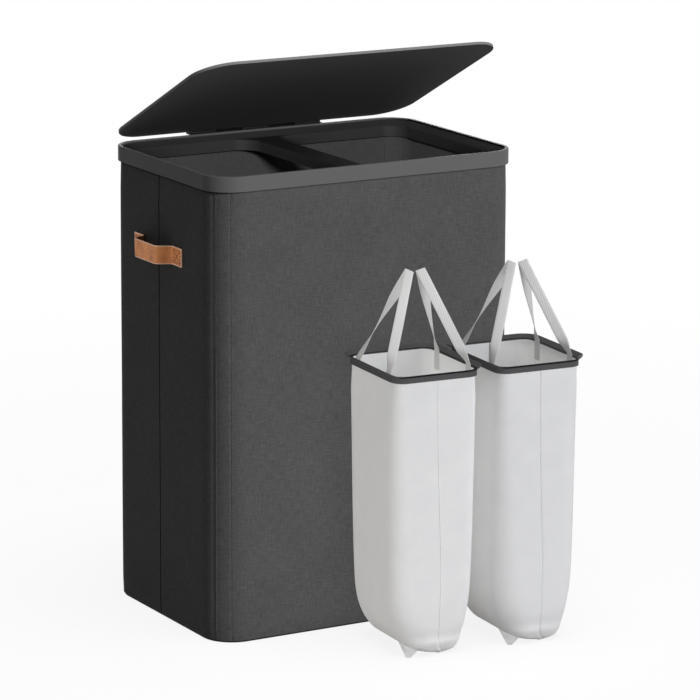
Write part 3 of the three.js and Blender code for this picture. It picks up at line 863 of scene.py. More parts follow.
@dataclass
class Studio:
    """A plain pale floor, soft light and the photograph's camera.

    The photograph shows the bags and the leather lit more from the left than the hamper's cloth, and
    no shadow of the bags on it. So the hamper, its inside, its frame, the bags and the floor have
    lamps of their own. The back lamp lights what the photograph doesn't show.
    """

    eye: tuple[float, float, float] = (-2.85994, -5.08935, 1.72335)
    azimuth: float = -29.89
    elevation: float = 12.91
    roll: float = 0.22
    lens: float = 202.51
    sensor: float = 36
    surround: float = 0.07
    hamper_lamp: Lamp = Lamp("hamper_lamp", 14, 25, 244, size=1.8)
    inside_lamp: Lamp = Lamp("inside_lamp", -25, 24, 150, size=1)
    frame_lamp: Lamp = Lamp("frame_lamp", -25, 8, 320, size=2)
    bag_lamp: Lamp = Lamp("bag_lamp", 19, 9, 222, "fdfdff", size=4.5)
    top_lamp: Lamp = Lamp("top_lamp", 0, 65, 130)
    side_lamp: Lamp = Lamp("side_lamp", -86, 9, 150, "fffdf8")
    far_side_lamp: Lamp = Lamp("far_side_lamp", -86, 9, 68, "fffdf8")
    back_lamp: Lamp = Lamp("back_lamp", 150, 5, 200)
    floor_lamp: Lamp = Lamp("floor_lamp", 0, 82, 370, size=5)
    floor_size: float = 40
    floor_share: float = 0.14
    floor_near: float = 0.8
    floor_far: float = 2.2

    def build(self) -> None:
        """Makes the camera, the world and the floor."""
        self.add_camera()
        self.add_world()
        self.add_floor()
        bpy.context.scene.view_settings.view_transform = "Standard"
        log.info("studio: camera, surround and floor")

    def light(self) -> None:
        """Hangs the lamps, once the pieces they light are there."""
        pieces = [item for item in bpy.context.scene.objects if item.type == "MESH"]

        def named(*starts: str) -> list[Object]:
            """The pieces whose names start with one of some words."""
            return [item for item in pieces if item.name.startswith(starts)]

        floor = [item for item in pieces if item.name == "floor"]
        bags = named("bag_")
        near_bag = named("bag_1")
        leather = named("left_handle_", "right_handle_")
        top_frame = named("top_frame")
        lining = named("lining_cloth", "floor_board")
        hamper = [item for item in pieces if item not in bags + floor]
        outside = [item for item in hamper if item not in top_frame + lining]
        self.hamper_lamp.hang(outside, hamper)
        self.inside_lamp.hang(lining, top_frame)
        self.frame_lamp.hang(top_frame, top_frame)
        self.bag_lamp.hang(bags, bags)
        self.side_lamp.hang(near_bag + leather, floor)
        self.far_side_lamp.hang(named("bag_2"), floor)
        self.top_lamp.hang(bags, floor)
        self.back_lamp.hang(bags + hamper, bags + hamper)
        self.floor_lamp.hang(floor, bags + hamper)

    def add_camera(self) -> None:
        """Makes the camera at the photograph's viewing angle."""
        back = direction(self.azimuth, self.elevation)
        right = Vector((0, 0, 1)).cross(back).normalized()
        up = back.cross(right)
        spin = math.radians(self.roll)
        right_rolled = right * math.cos(spin) + up * math.sin(spin)
        up_rolled = up * math.cos(spin) - right * math.sin(spin)
        data = bpy.data.cameras.new("camera")
        data.lens = self.lens
        data.sensor_width = self.sensor
        data.clip_end = 100
        camera = bpy.data.objects.new("camera", data)
        bpy.context.scene.collection.objects.link(camera)
        pose = Matrix((right_rolled, up_rolled, back)).transposed().to_4x4()
        pose.translation = Vector(self.eye)
        camera.matrix_world = pose
        bpy.context.scene.camera = camera

    def add_world(self) -> None:
        """Makes a soft white surround that shows as plain white to the camera."""
        world = bpy.data.worlds.new("studio")
        world.use_nodes = True
        bpy.context.scene.world = world
        tree = world.node_tree
        tree.nodes.clear()
        soft = add(tree, "Background", {"Color": linear("ffffff"), "Strength": self.surround})
        white = add(tree, "Background", {"Color": linear("ffffff"), "Strength": 1.0})
        mixed = add(tree, "MixShader", links={0: self.seen(tree), 1: soft.outputs[0],
                                              2: white.outputs[0]})
        add(tree, "OutputWorld", links={"Surface": mixed.outputs[0]})

    def seen(self, tree: Tree) -> Socket:
        """Whether a ray comes from the camera, a gloss or clear glass, as a socket."""
        path = add(tree, "LightPath")
        first = add(tree, "Math", {"operation": "MAXIMUM"}, {
            0: path.outputs["Is Camera Ray"], 1: path.outputs["Is Transmission Ray"]})
        both = add(tree, "Math", {"operation": "MAXIMUM"}, {
            0: first.outputs["Value"], 1: path.outputs["Is Glossy Ray"]})
        return both.outputs["Value"]

    def add_floor(self) -> None:
        """Makes a pale floor that shows as white and keeps the object's shadow."""
        floor = primitive(bpy.ops.mesh.primitive_plane_add, "floor", size=self.floor_size)
        material = bpy.data.materials.new("pale_floor")
        material.use_nodes = True
        tree = material.node_tree
        tree.nodes.clear()
        matt = add(tree, "BsdfDiffuse", {"Color": linear("fafafa")})
        dim = add(tree, "BsdfDiffuse", {"Color": linear("8c8c8c")})
        white = add(tree, "Emission", {"Color": linear("ffffff"), "Strength": 1.0})
        away = add(tree, "VectorMath", {"operation": "LENGTH"}, {0: object_place(tree)})
        share = add(tree, "MapRange", {"From Min": self.floor_near, "From Max": self.floor_far,
                                       "To Min": 1 - self.floor_share, "To Max": 1},
                    {"Value": away.outputs["Value"]})
        lit = add(tree, "MixShader", links={0: share.outputs["Result"], 1: matt.outputs[0],
                                            2: white.outputs[0]})
        mixed = add(tree, "MixShader", links={0: self.seen(tree), 1: dim.outputs[0], 2: lit.outputs[0]})
        add(tree, "OutputMaterial", links={"Surface": mixed.outputs[0]})
        floor.data.materials.append(material)


# The hamper's body

@dataclass
class Body:
    """The stiffened cloth wall, its lining, its floor and the boards inside it.

    Angles at a corner go from the side wall round to the front. The valley is the shallow hollow down
    each corner of the cover, as pairs of a distance along the cloth and a depth.
    """

    outline: Outline = WALL
    bottom: float = 2.8 * MM
    top: float = WALL_TOP
    tuck_height: float = 674.2 * MM
    tuck_step: float = 0.5 * MM
    tuck: float = 1.2 * MM
    slack: tuple[float, float] = (0.35 * MM, 0.12 * MM)
    cover: float = 1 * MM
    lining_offset: float = -4.6 * MM
    lining: float = 0.8 * MM
    crease_y: float = 10 * MM
    crease_half: float = 1.3 * MM
    crease_depth: float = 2.2 * MM
    crease_reach: float = 60 * MM
    hem_round: float = 0.35 * MM
    base_inset: float = 1 * MM
    base: float = 2.5 * MM
    base_round: float = 0.7 * MM
    board: float = 3 * MM
    board_round: float = 1 * MM
    corner_steps: int = 16
    rows: int = 26
    wall_cuts: tuple[tuple[float, float, int], ...] = ((300 * MM, 1, 13), (150 * MM, 300 * MM, 9))
    valley_angle: float = 29.8
    valley: Rows = (
        (-4.5 * MM, 0), (-1.5 * MM, 0.75 * MM), (0.5 * MM, 0.95 * MM), (5 * MM, 0.6 * MM), (10 * MM, 0))
    seam_angle: float = 61
    seam_half: float = 0.8 * MM
    seam_depth: float = 0.55 * MM
    lining_seams: tuple[float, float] = (71, 30)
    lining_seam_half: float = 0.9 * MM
    lining_seam_rise: float = 1.5 * MM

    def build(self) -> None:
        """Builds the wall, the floor and the hidden boards."""
        self.cover_cloth()
        self.lining_cloth()
        self.base_panel()
        self.floor_board()
        self.boards()

    def lean(self, place: Vector) -> Vector:
        """Moves a point of an upright wall out by the wall's flare at its height."""
        return self.push(place, WALL_FLARE * (1 - place.z / self.top))

    def push(self, place: Vector, out: float) -> Vector:
        """Moves a point of an upright wall straight out from the wall's core."""
        way = place - self.outline.core(place)
        if way.length < MM:
            return place
        return place + way.normalized() * out

    def wall(self, name: str, offset: float) -> Object:
        """An open upright wall round the outline.

        Args:
            name: The piece's name.
            offset: How far outside the cover's face it stands.

        Returns:
            The wall, one face thick.
        """
        piece = rounded_plate(name, self.outline.grown(offset), self.bottom, self.corner_steps)
        with editing(piece):
            pick(Kind.FACE)
            bpy.ops.mesh.delete(type="ONLY_FACE")
            for shortest, longest, cuts in self.wall_cuts:
                pick(Kind.EDGE, lambda place, edge: shortest < edge.calc_length() < longest)
                bpy.ops.mesh.subdivide(number_cuts=cuts)
            pick(Kind.EDGE)
            for _ in range(self.rows):
                extrude((self.top - self.bottom) / self.rows)
            pick_all()
            bpy.ops.mesh.normals_make_consistent(inside=False)
        return piece

    def cut_lines(self, angle: float, offsets: Sequence[float]) -> None:
        """Adds upright lines of vertices round every corner, at offsets along the wall from an angle."""
        flat_x, flat_y = self.outline.flat
        for side_x, side_y, offset in product((-1, 1), (-1, 1), offsets):
            way = math.radians(angle) + offset / self.outline.corner
            pick(Kind.FACE, lambda place, face: place.x * side_x > flat_x - MM
                 and place.y * side_y > flat_y - MM)
            bpy.ops.mesh.bisect(plane_co=(side_x * flat_x, side_y * flat_y, 0),
                                plane_no=(side_x * -math.sin(way), side_y * math.cos(way), 0))

    def cover_cloth(self) -> None:
        """Builds the outer cover with its corner seams, side creases and turned hem."""
        piece = self.wall("cover_cloth", 0)
        with editing(piece):
            self.cut_lines(self.valley_angle, [offset for offset, _ in self.valley])
            self.cut_lines(self.seam_angle, (-self.seam_half, 0, self.seam_half))
            for offset in (-self.crease_half, 0, self.crease_half):
                pick(Kind.FACE, lambda place, face: abs(place.y) < self.crease_reach)
                bpy.ops.mesh.bisect(plane_co=(0, self.crease_y + offset, 0), plane_no=(0, 1, 0))
            for height in (self.tuck_height, self.tuck_height + self.tuck_step):
                pick_all()
                bpy.ops.mesh.bisect(plane_co=(0, 0, height), plane_no=(0, 0, 1))
        tidy(piece)
        with editing(piece):
            for offset, depth in self.valley:
                self.sink(self.valley_angle + math.degrees(offset / self.outline.corner), depth)
            self.sink(self.seam_angle, self.seam_depth)
            pick(Kind.VERT, lambda place, vert: abs(place.y - self.crease_y) < 0.2 * MM)
            bpy.ops.transform.shrink_fatten(value=-self.crease_depth)
            pick(Kind.VERT, lambda place, vert: place.z > self.tuck_height + self.tuck_step / 2)
            bpy.ops.transform.shrink_fatten(value=-self.tuck)
        reshape(piece, self.lean)
        reshape(piece, self.ripple)
        modify(piece, "SOLIDIFY", thickness=self.cover, offset=-1)
        with editing(piece):
            pick(Kind.EDGE, lambda place, edge: level(edge) and sharp(edge, 60))
            round_edges(self.hem_round, 2)
        lay_pattern(piece, wrap_map(self.outline))
        # Painted shade: the faces at the bottom of each side crease take near-black, for the shadow in
        # the fold.
        COVER_CLOTH.put_on_with(piece, CREASE_SHADE,
                                lambda face: abs(face.center.y - self.crease_y) < self.crease_half)
        polish(piece, 40)
        stand_for(piece, "hamper", "cover", "outer_cover")

    def sink(self, angle: float, depth: float) -> None:
        """Pushes in the upright line of vertices at an angle round every corner."""
        flat_x, flat_y = self.outline.flat

        def on_line(place: Vector, vert: Any) -> bool:
            """Whether a vertex stands at the angle, from the side wall round to the front."""
            x = abs(place.x) - flat_x
            y = abs(place.y) - flat_y
            if x < MM or y < MM:
                return False
            return abs(math.degrees(math.atan2(y, x)) - angle) < 0.35

        pick(Kind.VERT, on_line)
        bpy.ops.transform.shrink_fatten(value=-depth)

    def ripple(self, place: Vector) -> Vector:
        """Adds the slight fullness and slackness of cloth over board."""
        hold = smooth((self.top - place.z) / (60 * MM)) * smooth((place.z - self.bottom) / (20 * MM))
        place = self.push(place, WALL_BULGE * (0.4 + 0.6 * hold))
        stir = noise.noise(Vector((place.x * 9, place.y * 9, place.z * 4)))
        fine = noise.noise(Vector((place.x * 26, place.y * 26, place.z * 11 + 7)))
        shares = (place.x / self.outline.half_x, place.y / self.outline.half_y)
        way = Vector((*(round(share, 2) if abs(share) > 0.97 else 0 for share in shares), 0))
        if way.length < 0.5:
            return place
        return place - way.normalized() * hold * (self.slack[0] * stir + self.slack[1] * fine)

    def lining_cloth(self) -> None:
        """Builds the lining inside the boards, with its corner seams."""
        piece = self.wall("lining_cloth", self.lining_offset)
        with editing(piece):
            for angle in self.lining_seams:
                self.cut_lines(angle, (-self.lining_seam_half, 0, self.lining_seam_half))
        tidy(piece)
        with editing(piece):
            for angle in self.lining_seams:
                self.sink(angle, -self.lining_seam_rise)
        reshape(piece, self.lean)
        modify(piece, "SOLIDIFY", thickness=self.lining, offset=-1)
        lay_pattern(piece, wrap_map(self.outline))
        LINING_CLOTH.put_on(piece)
        polish(piece, 40)
        stand_for(piece, "hamper", "lining", "inner_lining")

    def base_panel(self) -> None:
        """Builds the panel that closes the body from below."""
        outline = self.outline.grown(WALL_FLARE - self.base_inset)
        piece = slab("base_cloth_panel", outline, 0, self.base, self.base_round, self.corner_steps)
        # Painted shade: the base panel is darkened to near-black for the contact shadow along the body's
        # bottom edge.
        BASE_CLOTH_SHADED.put_on(piece)
        polish(piece, 40, True)
        stand_for(piece, "hamper", "cover", "base_panel")

    def floor_board(self) -> None:
        """Builds the wrapped board on the body's floor."""
        outline = self.outline.grown(self.lining_offset - self.lining - TOUCH)
        piece = slab("floor_board", outline, self.bottom, self.board, self.board_round,
                     self.corner_steps)
        FLOOR_CLOTH.put_on(piece)
        polish(piece, 40, True)
        stand_for(piece, "hamper", "lining", "base_board")

    def boards(self) -> None:
        """Dresses the hidden boards and corner strips, whose CAD shapes are right."""
        for name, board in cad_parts.items():
            if name.endswith(("_board", "_corner_strip")) and name != "base_board":
                board.data.materials.clear()
                GREY_BOARD.put_on(board)


@dataclass
class Rim:
    """The band round the top and the frame that divides the inside in two."""

    outline: Outline = Outline(257.75 * MM, RIM_BACK, 47.5 * MM)
    top: float = RIM_TOP
    band: float = 23 * MM
    wall: float = 3.5 * MM
    lip: float = 5.5 * MM
    lip_thickness: float = 2.4 * MM
    gap: float = 0.4 * MM
    ledge: float = 9.1 * MM
    frame_drop: float = 3 * MM
    ledge_drop: float = 11.5 * MM
    plate: float = 2.0 * MM
    collar: float = 16.5 * MM
    divider: float = 38 * MM
    top_round: float = 1.4 * MM
    edge_round: float = 0.5 * MM
    ledge_round: float = 1.2 * MM
    weld: float = 0.15 * MM
    corner_steps: int = 20

    def build(self) -> None:
        """Builds the rim band and the inner frame."""
        self.rim_band()
        self.inner_frame()

    def on(self, place: Vector, offset: float) -> bool:
        """Whether a place lies on the outline at an offset."""
        return abs(self.outline.outside(place) - offset) < TOLERANCE

    def rim_band(self) -> None:
        """Builds the rounded band with its narrow lip."""
        piece = rounded_plate("rim_band", self.outline, self.top - self.band, self.corner_steps)
        with editing(piece):
            pick(Kind.FACE)
            bpy.ops.mesh.inset(thickness=self.wall)
            pick(Kind.FACE, lambda place, face: face.calc_area() > 0.05)
            bpy.ops.mesh.delete(type="FACE")
            pick(Kind.FACE)
            extrude(self.band - self.lip_thickness)
            extrude(self.lip_thickness)
            low = self.top - self.lip_thickness
            pick(Kind.FACE, lambda place, face: low < place.z < self.top - MM * 0.1
                 and self.on(place, -self.wall))
            thicken(self.lip - self.wall)
        tidy(piece)
        with editing(piece):
            pick(Kind.EDGE, lambda place, edge: level(edge) and place.z > self.top - 0.1 * MM
                 and self.on(place, 0))
            round_edges(self.top_round, 4)
            pick(Kind.EDGE, lambda place, edge: level(edge) and sharp(edge, 60))
            round_edges(self.edge_round, 2)
        RIM_PLASTIC.put_on(piece)
        polish(piece, 35, True)
        stand_for(piece, "hamper", "plastic", "rim")

    def inner_frame(self) -> None:
        """Builds the sloped ledge, the divider and the collars as one moulded skin."""
        ledge_top = self.top - self.ledge_drop
        outer = self.outline.grown(-self.lip - self.gap)
        inner = outer.grown(-self.ledge)
        piece = rounded_plate("top_frame", outer, self.top - self.frame_drop, self.corner_steps)
        opening = Outline((inner.half_x - self.divider / 2) / 2, inner.half_y, inner.corner)
        shift = self.divider / 2 + opening.half_x
        with editing(piece):
            pick(Kind.FACE)
            bpy.ops.mesh.inset(thickness=self.ledge)
            pick(Kind.FACE, lambda place, face: face.calc_area() > 0.05)
            bpy.ops.transform.translate(value=(0, 0, self.frame_drop - self.ledge_drop))
            bpy.ops.mesh.delete(type="FACE")
            reach = opening.half_x - opening.corner
            for side, part in product((-1, 1), (-1, 1)):
                pick_all()
                bpy.ops.mesh.bisect(plane_co=(side * shift + part * reach, 0, 0), plane_no=(1, 0, 0))
        walls = [piece]
        for side in (-1, 1):
            collar = rounded_plate("collar", opening, ledge_top, self.corner_steps)
            with editing(collar):
                pick_all()
                bpy.ops.transform.translate(value=(side * shift, 0, 0))
                pick(Kind.FACE)
                bpy.ops.mesh.delete(type="ONLY_FACE")
                pick(Kind.EDGE)
                extrude(-self.collar)
            walls.append(collar)
        join(walls)
        with editing(piece):
            pick_all()
            bpy.ops.mesh.remove_doubles(threshold=self.weld)
            bridge = self.divider / 2 + opening.corner + TOLERANCE
            pick(Kind.EDGE, lambda place, edge: len(edge.link_faces) == 1 and abs(place.x) < bridge
                 and abs(place.z - ledge_top) < TOLERANCE)
            bpy.ops.mesh.edge_face_add()
            pick_all()
            bpy.ops.mesh.normals_make_consistent(inside=False)
        probe = max(piece.data.polygons, key=lambda face: face.area * (abs(face.normal.z) > 0.9))
        if probe.normal.z < 0:
            with editing(piece):
                pick_all()
                bpy.ops.mesh.flip_normals()
        with editing(piece):
            pick(Kind.EDGE, lambda place, edge: sharp(edge, 25) and place.z > ledge_top - MM)
            round_edges(self.ledge_round, 4, clamp=False)
        tidy(piece)
        modify(piece, "SOLIDIFY", thickness=self.plate, offset=-1)
        # Painted shade: the frame takes a darker grey than the rim's plastic, for the shade inside the
        # openings.
        FRAME_PLASTIC_SHADED.put_on(piece)
        polish(piece, 35, True)
        stand_for(piece, "hamper", "plastic", "inner_frame")


@dataclass
class Lid:
    """The lid board, which stands open, and its barrel hinge."""

    pin_y: float = 185.5 * MM
    pin_z: float = 705.5 * MM
    open_degrees: float = 26
    width: float = 510 * MM
    depth: float = 351 * MM
    underside: float = -4.9 * MM
    thickness: float = 4.4 * MM
    corner: float = 54 * MM
    back_gap: float = 4.6 * MM
    edge_round: float = 0.8 * MM
    leaf: float = 1.5 * MM
    leaf_round: float = 0.3 * MM
    rivet_inset: float = 18 * MM
    rivet_drop: float = 11 * MM
    rivet_head: float = 3.4 * MM
    rivet_height: float = 1.3 * MM
    rivet_round: float = 1.1 * MM
    rivet_shank: float = 1.5 * MM
    rivet_bite: float = 2 * MM
    rivet_spacing: float = 80 * MM

    def build(self) -> None:
        """Builds the lid, the hinge's parts and its rivets."""
        self.board()
        self.hinge()
        self.rivets()

    def opened(self, piece: Object) -> None:
        """Turns a piece from the closed lid's place, about the pin, to where the lid stands."""
        swing = Matrix.Rotation(-math.radians(self.open_degrees), 4, "X")
        piece.data.transform(Matrix.Translation((0, self.pin_y, self.pin_z)) @ swing)

    def board(self) -> None:
        """Builds the lid board with its rounded edge, painted lighter as a highlight."""
        outline = Outline(self.width / 2, self.depth / 2, self.corner)
        piece = slab("lid_board", outline, self.underside, self.thickness, self.edge_round, 24)
        piece.data.transform(Matrix.Translation((0, -self.depth / 2 - self.back_gap, 0)))
        # Painted highlight: the edge faces take a lighter grey than the board, for the light the rounded
        # edge catches.
        LID_BOARD.put_on_with(piece, LID_EDGE_HIGHLIGHT, lambda face: abs(face.normal.z) <= 0.95
                              and face.center.z >= self.underside + 0.1 * MM)
        polish(piece, 35, True)
        self.opened(piece)
        stand_for(piece, "lid", "lid", "lid")

    def hinge(self) -> None:
        """Rounds the edges of the hinge leaves, and dresses the pin."""
        for node, name, body in (("rim_hinge_leaf", "rim_leaf", "hamper"),
                                 ("lid_hinge_leaf", "lid_leaf", "lid")):
            piece = twin(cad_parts[node], name)
            piece.parent = None
            for key in list(piece.keys()):
                del piece[key]
            piece.data.materials.clear()
            with editing(piece):
                pick_all()
                bpy.ops.mesh.remove_doubles(threshold=0.01 * MM)
                bpy.ops.mesh.dissolve_limited(angle_limit=math.radians(1))
                pick(Kind.EDGE, lambda place, edge: sharp(edge, 60) and edge.calc_length() > 20 * MM)
                round_edges(self.leaf_round, 2)
            HINGE_PLASTIC.put_on(piece)
            polish(piece, 35)
            stand_for(piece, body, "hinge", node)
        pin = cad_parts["hinge_pin"]
        pin.data.materials.clear()
        STEEL.put_on(pin)

    def rivet(self) -> Object:
        """One rivet that points down, its head standing on height zero."""
        piece = primitive(bpy.ops.mesh.primitive_cylinder_add, "rivet", vertices=32,
                          radius=self.rivet_head, depth=self.rivet_height)
        with editing(piece):
            pick_all()
            bpy.ops.transform.translate(value=(0, 0, self.rivet_height / 2))
            pick(Kind.FACE, lambda place, face: face.normal.z < -0.9)
            bpy.ops.mesh.inset(thickness=self.rivet_head - self.rivet_shank)
            extrude(-self.leaf - 2 * TOUCH - self.rivet_bite)
            pick(Kind.EDGE, lambda place, edge: level(edge) and place.z > self.rivet_height - 0.1 * MM
                 and sharp(edge))
            round_edges(self.rivet_round, 5)
        return piece

    def rivets(self) -> None:
        """Copies the rivet to its six places."""
        first = self.rivet()
        stack = self.leaf + 2 * TOUCH
        for i, x in enumerate((-self.rivet_spacing, 0, self.rivet_spacing), 1):
            spot = Vector((x, RIM_BACK + stack, RIM_TOP - self.rivet_drop))
            piece = twin(first, f"rim_rivet_head_{i}")
            piece.data.transform(Matrix.Translation(spot) @ Matrix.Rotation(-QUARTER, 4, "X"))
            self.finish_rivet(piece, "hamper", f"rim_rivet_{i}")
            spot = Vector((x, -self.back_gap - self.rivet_inset, self.underside + self.thickness + stack))
            piece = twin(first, f"lid_rivet_head_{i}")
            piece.data.transform(Matrix.Translation(spot))
            self.opened(piece)
            self.finish_rivet(piece, "lid", f"lid_rivet_{i}")
        bpy.data.objects.remove(first)

    def finish_rivet(self, piece: Object, body: str, node: str) -> None:
        """Gives a rivet its steel and says which node it stands for."""
        STEEL.put_on(piece)
        polish(piece, 40)
        stand_for(piece, body, "steel", node)


@dataclass
class Handle:
    """A leather strap on each side, sewn at both ends and bowed between."""

    length: float = 152 * MM
    patch: float = 29 * MM
    width: float = 28 * MM
    thickness: float = 2.4 * MM
    border: float = 1.5 * MM
    bow: float = 22 * MM
    leg: float = 17 * MM
    middle_y: float = 9 * MM
    height: float = 564.5 * MM
    stitch: float = 3.2 * MM
    stitch_gap: float = 1.3 * MM
    thread: float = 0.6 * MM
    hem: float = 4.2 * MM
    edge_round: float = 0.5 * MM
    sag: float = 0.3 * MM

    def build(self) -> None:
        """Builds both handles and their stitches."""
        for label, side in (("left", -1), ("right", 1)):
            self.strap(label, side)
            self.stitches(label, side)

    def out(self, along: float) -> float:
        """How far the strap stands out at a distance from its middle."""
        leg_end = self.length / 2 - self.patch
        return self.bow * smooth((leg_end - abs(along)) / self.leg)

    def face(self) -> float:
        """How far from the middle the wall's face is, at the strap's lower edge."""
        low = self.height - self.width / 2
        return WALL.half_x + WALL_FLARE * (1 - low / WALL_TOP) + WALL_BULGE + TOUCH

    def strap(self, label: str, side: int) -> None:
        """Builds one strap.

        Args:
            label: left or right.
            side: -1 on the left, 1 on the right.
        """
        piece = primitive(bpy.ops.mesh.primitive_grid_add, f"{label}_handle_strap", x_subdivisions=76,
                          y_subdivisions=8, size=1)
        reshape(piece, lambda p: Vector((p.x * self.length, p.y * self.width, 0)))
        with editing(piece):
            pick_all()
            extrude(self.thickness)
            pick(Kind.FACE, lambda place, face: place.z > self.thickness - 0.1 * MM)
            bpy.ops.mesh.inset(thickness=self.border)
            pick(Kind.EDGE, lambda place, edge: sharp(edge, 60))
            round_edges(self.edge_round, 2)
        tidy(piece)

        def painted(face: Any) -> bool:
            """Whether a face lies on the strap's sides or on the border of its outer face."""
            inside = max(abs(face.center.x) - self.length / 2, abs(face.center.y) - self.width / 2)
            at_edge = inside > -self.border and face.center.z > self.thickness / 2
            return at_edge or abs(face.normal.z) < 0.5

        TAN_LEATHER.put_on_with(piece, LEATHER_EDGE, painted)

        def bend(place: Vector) -> Vector:
            """Lays a flat strap's point along the bowed handle."""
            along = place.x
            step = 0.2 * MM
            slope = (self.out(along + step) - self.out(along - step)) / (2 * step)
            lift = place.z / math.hypot(1, slope)
            sag = self.sag * math.cos(math.pi * place.y / self.width) * smooth(self.out(along) / self.bow)
            reach = self.face() + self.out(along) + lift + sag
            return Vector((side * reach, self.middle_y + along - lift * slope, self.height + place.y))

        reshape(piece, bend)
        tidy(piece)
        polish(piece, 40)
        stand_for(piece, "hamper", "leather", f"{label}_handle")

    def stitches(self, label: str, side: int) -> None:
        """Sews the box and cross at each end of a strap."""
        first = primitive(bpy.ops.mesh.primitive_uv_sphere_add, "stitch", segments=8, ring_count=6,
                          radius=0.5)
        reshape(first, lambda p: Vector((p.x * self.thread * 2, p.y * self.thread * 2,
                                         p.z * self.stitch)))
        half_y = self.patch / 2 - self.hem
        half_z = self.width / 2 - self.hem
        corners = [(-half_y, -half_z), (half_y, -half_z), (half_y, half_z), (-half_y, half_z)]
        lines = [(corners[i], corners[(i + 1) % 4]) for i in range(4)]
        lines += [(corners[0], corners[2]), (corners[1], corners[3])]
        parts = []
        face = side * (self.face() + self.thickness)
        for end in (-1, 1):
            centre = self.middle_y + end * (self.length / 2 - self.patch / 2)
            for (y0, z0), (y1, z1) in lines:
                run = math.hypot(y1 - y0, z1 - z0)
                count = max(int(run / (self.stitch + self.stitch_gap)), 1)
                turn = math.atan2(y1 - y0, z1 - z0)
                for i in range(count):
                    share = (i + 0.5) / count
                    piece = twin(first, "stitch")
                    spot = Vector((face, centre + y0 + (y1 - y0) * share,
                                   self.height + z0 + (z1 - z0) * share))
                    piece.data.transform(Matrix.Translation(spot) @ Matrix.Rotation(-turn, 4, "X"))
                    parts.append(piece)
        bpy.data.objects.remove(first)
        piece = rename(join(parts), f"{label}_handle_stitches")
        LEATHER_THREAD.put_on(piece)
        polish(piece, 60)
        stand_for(piece, "hamper", "leather")


# Bags

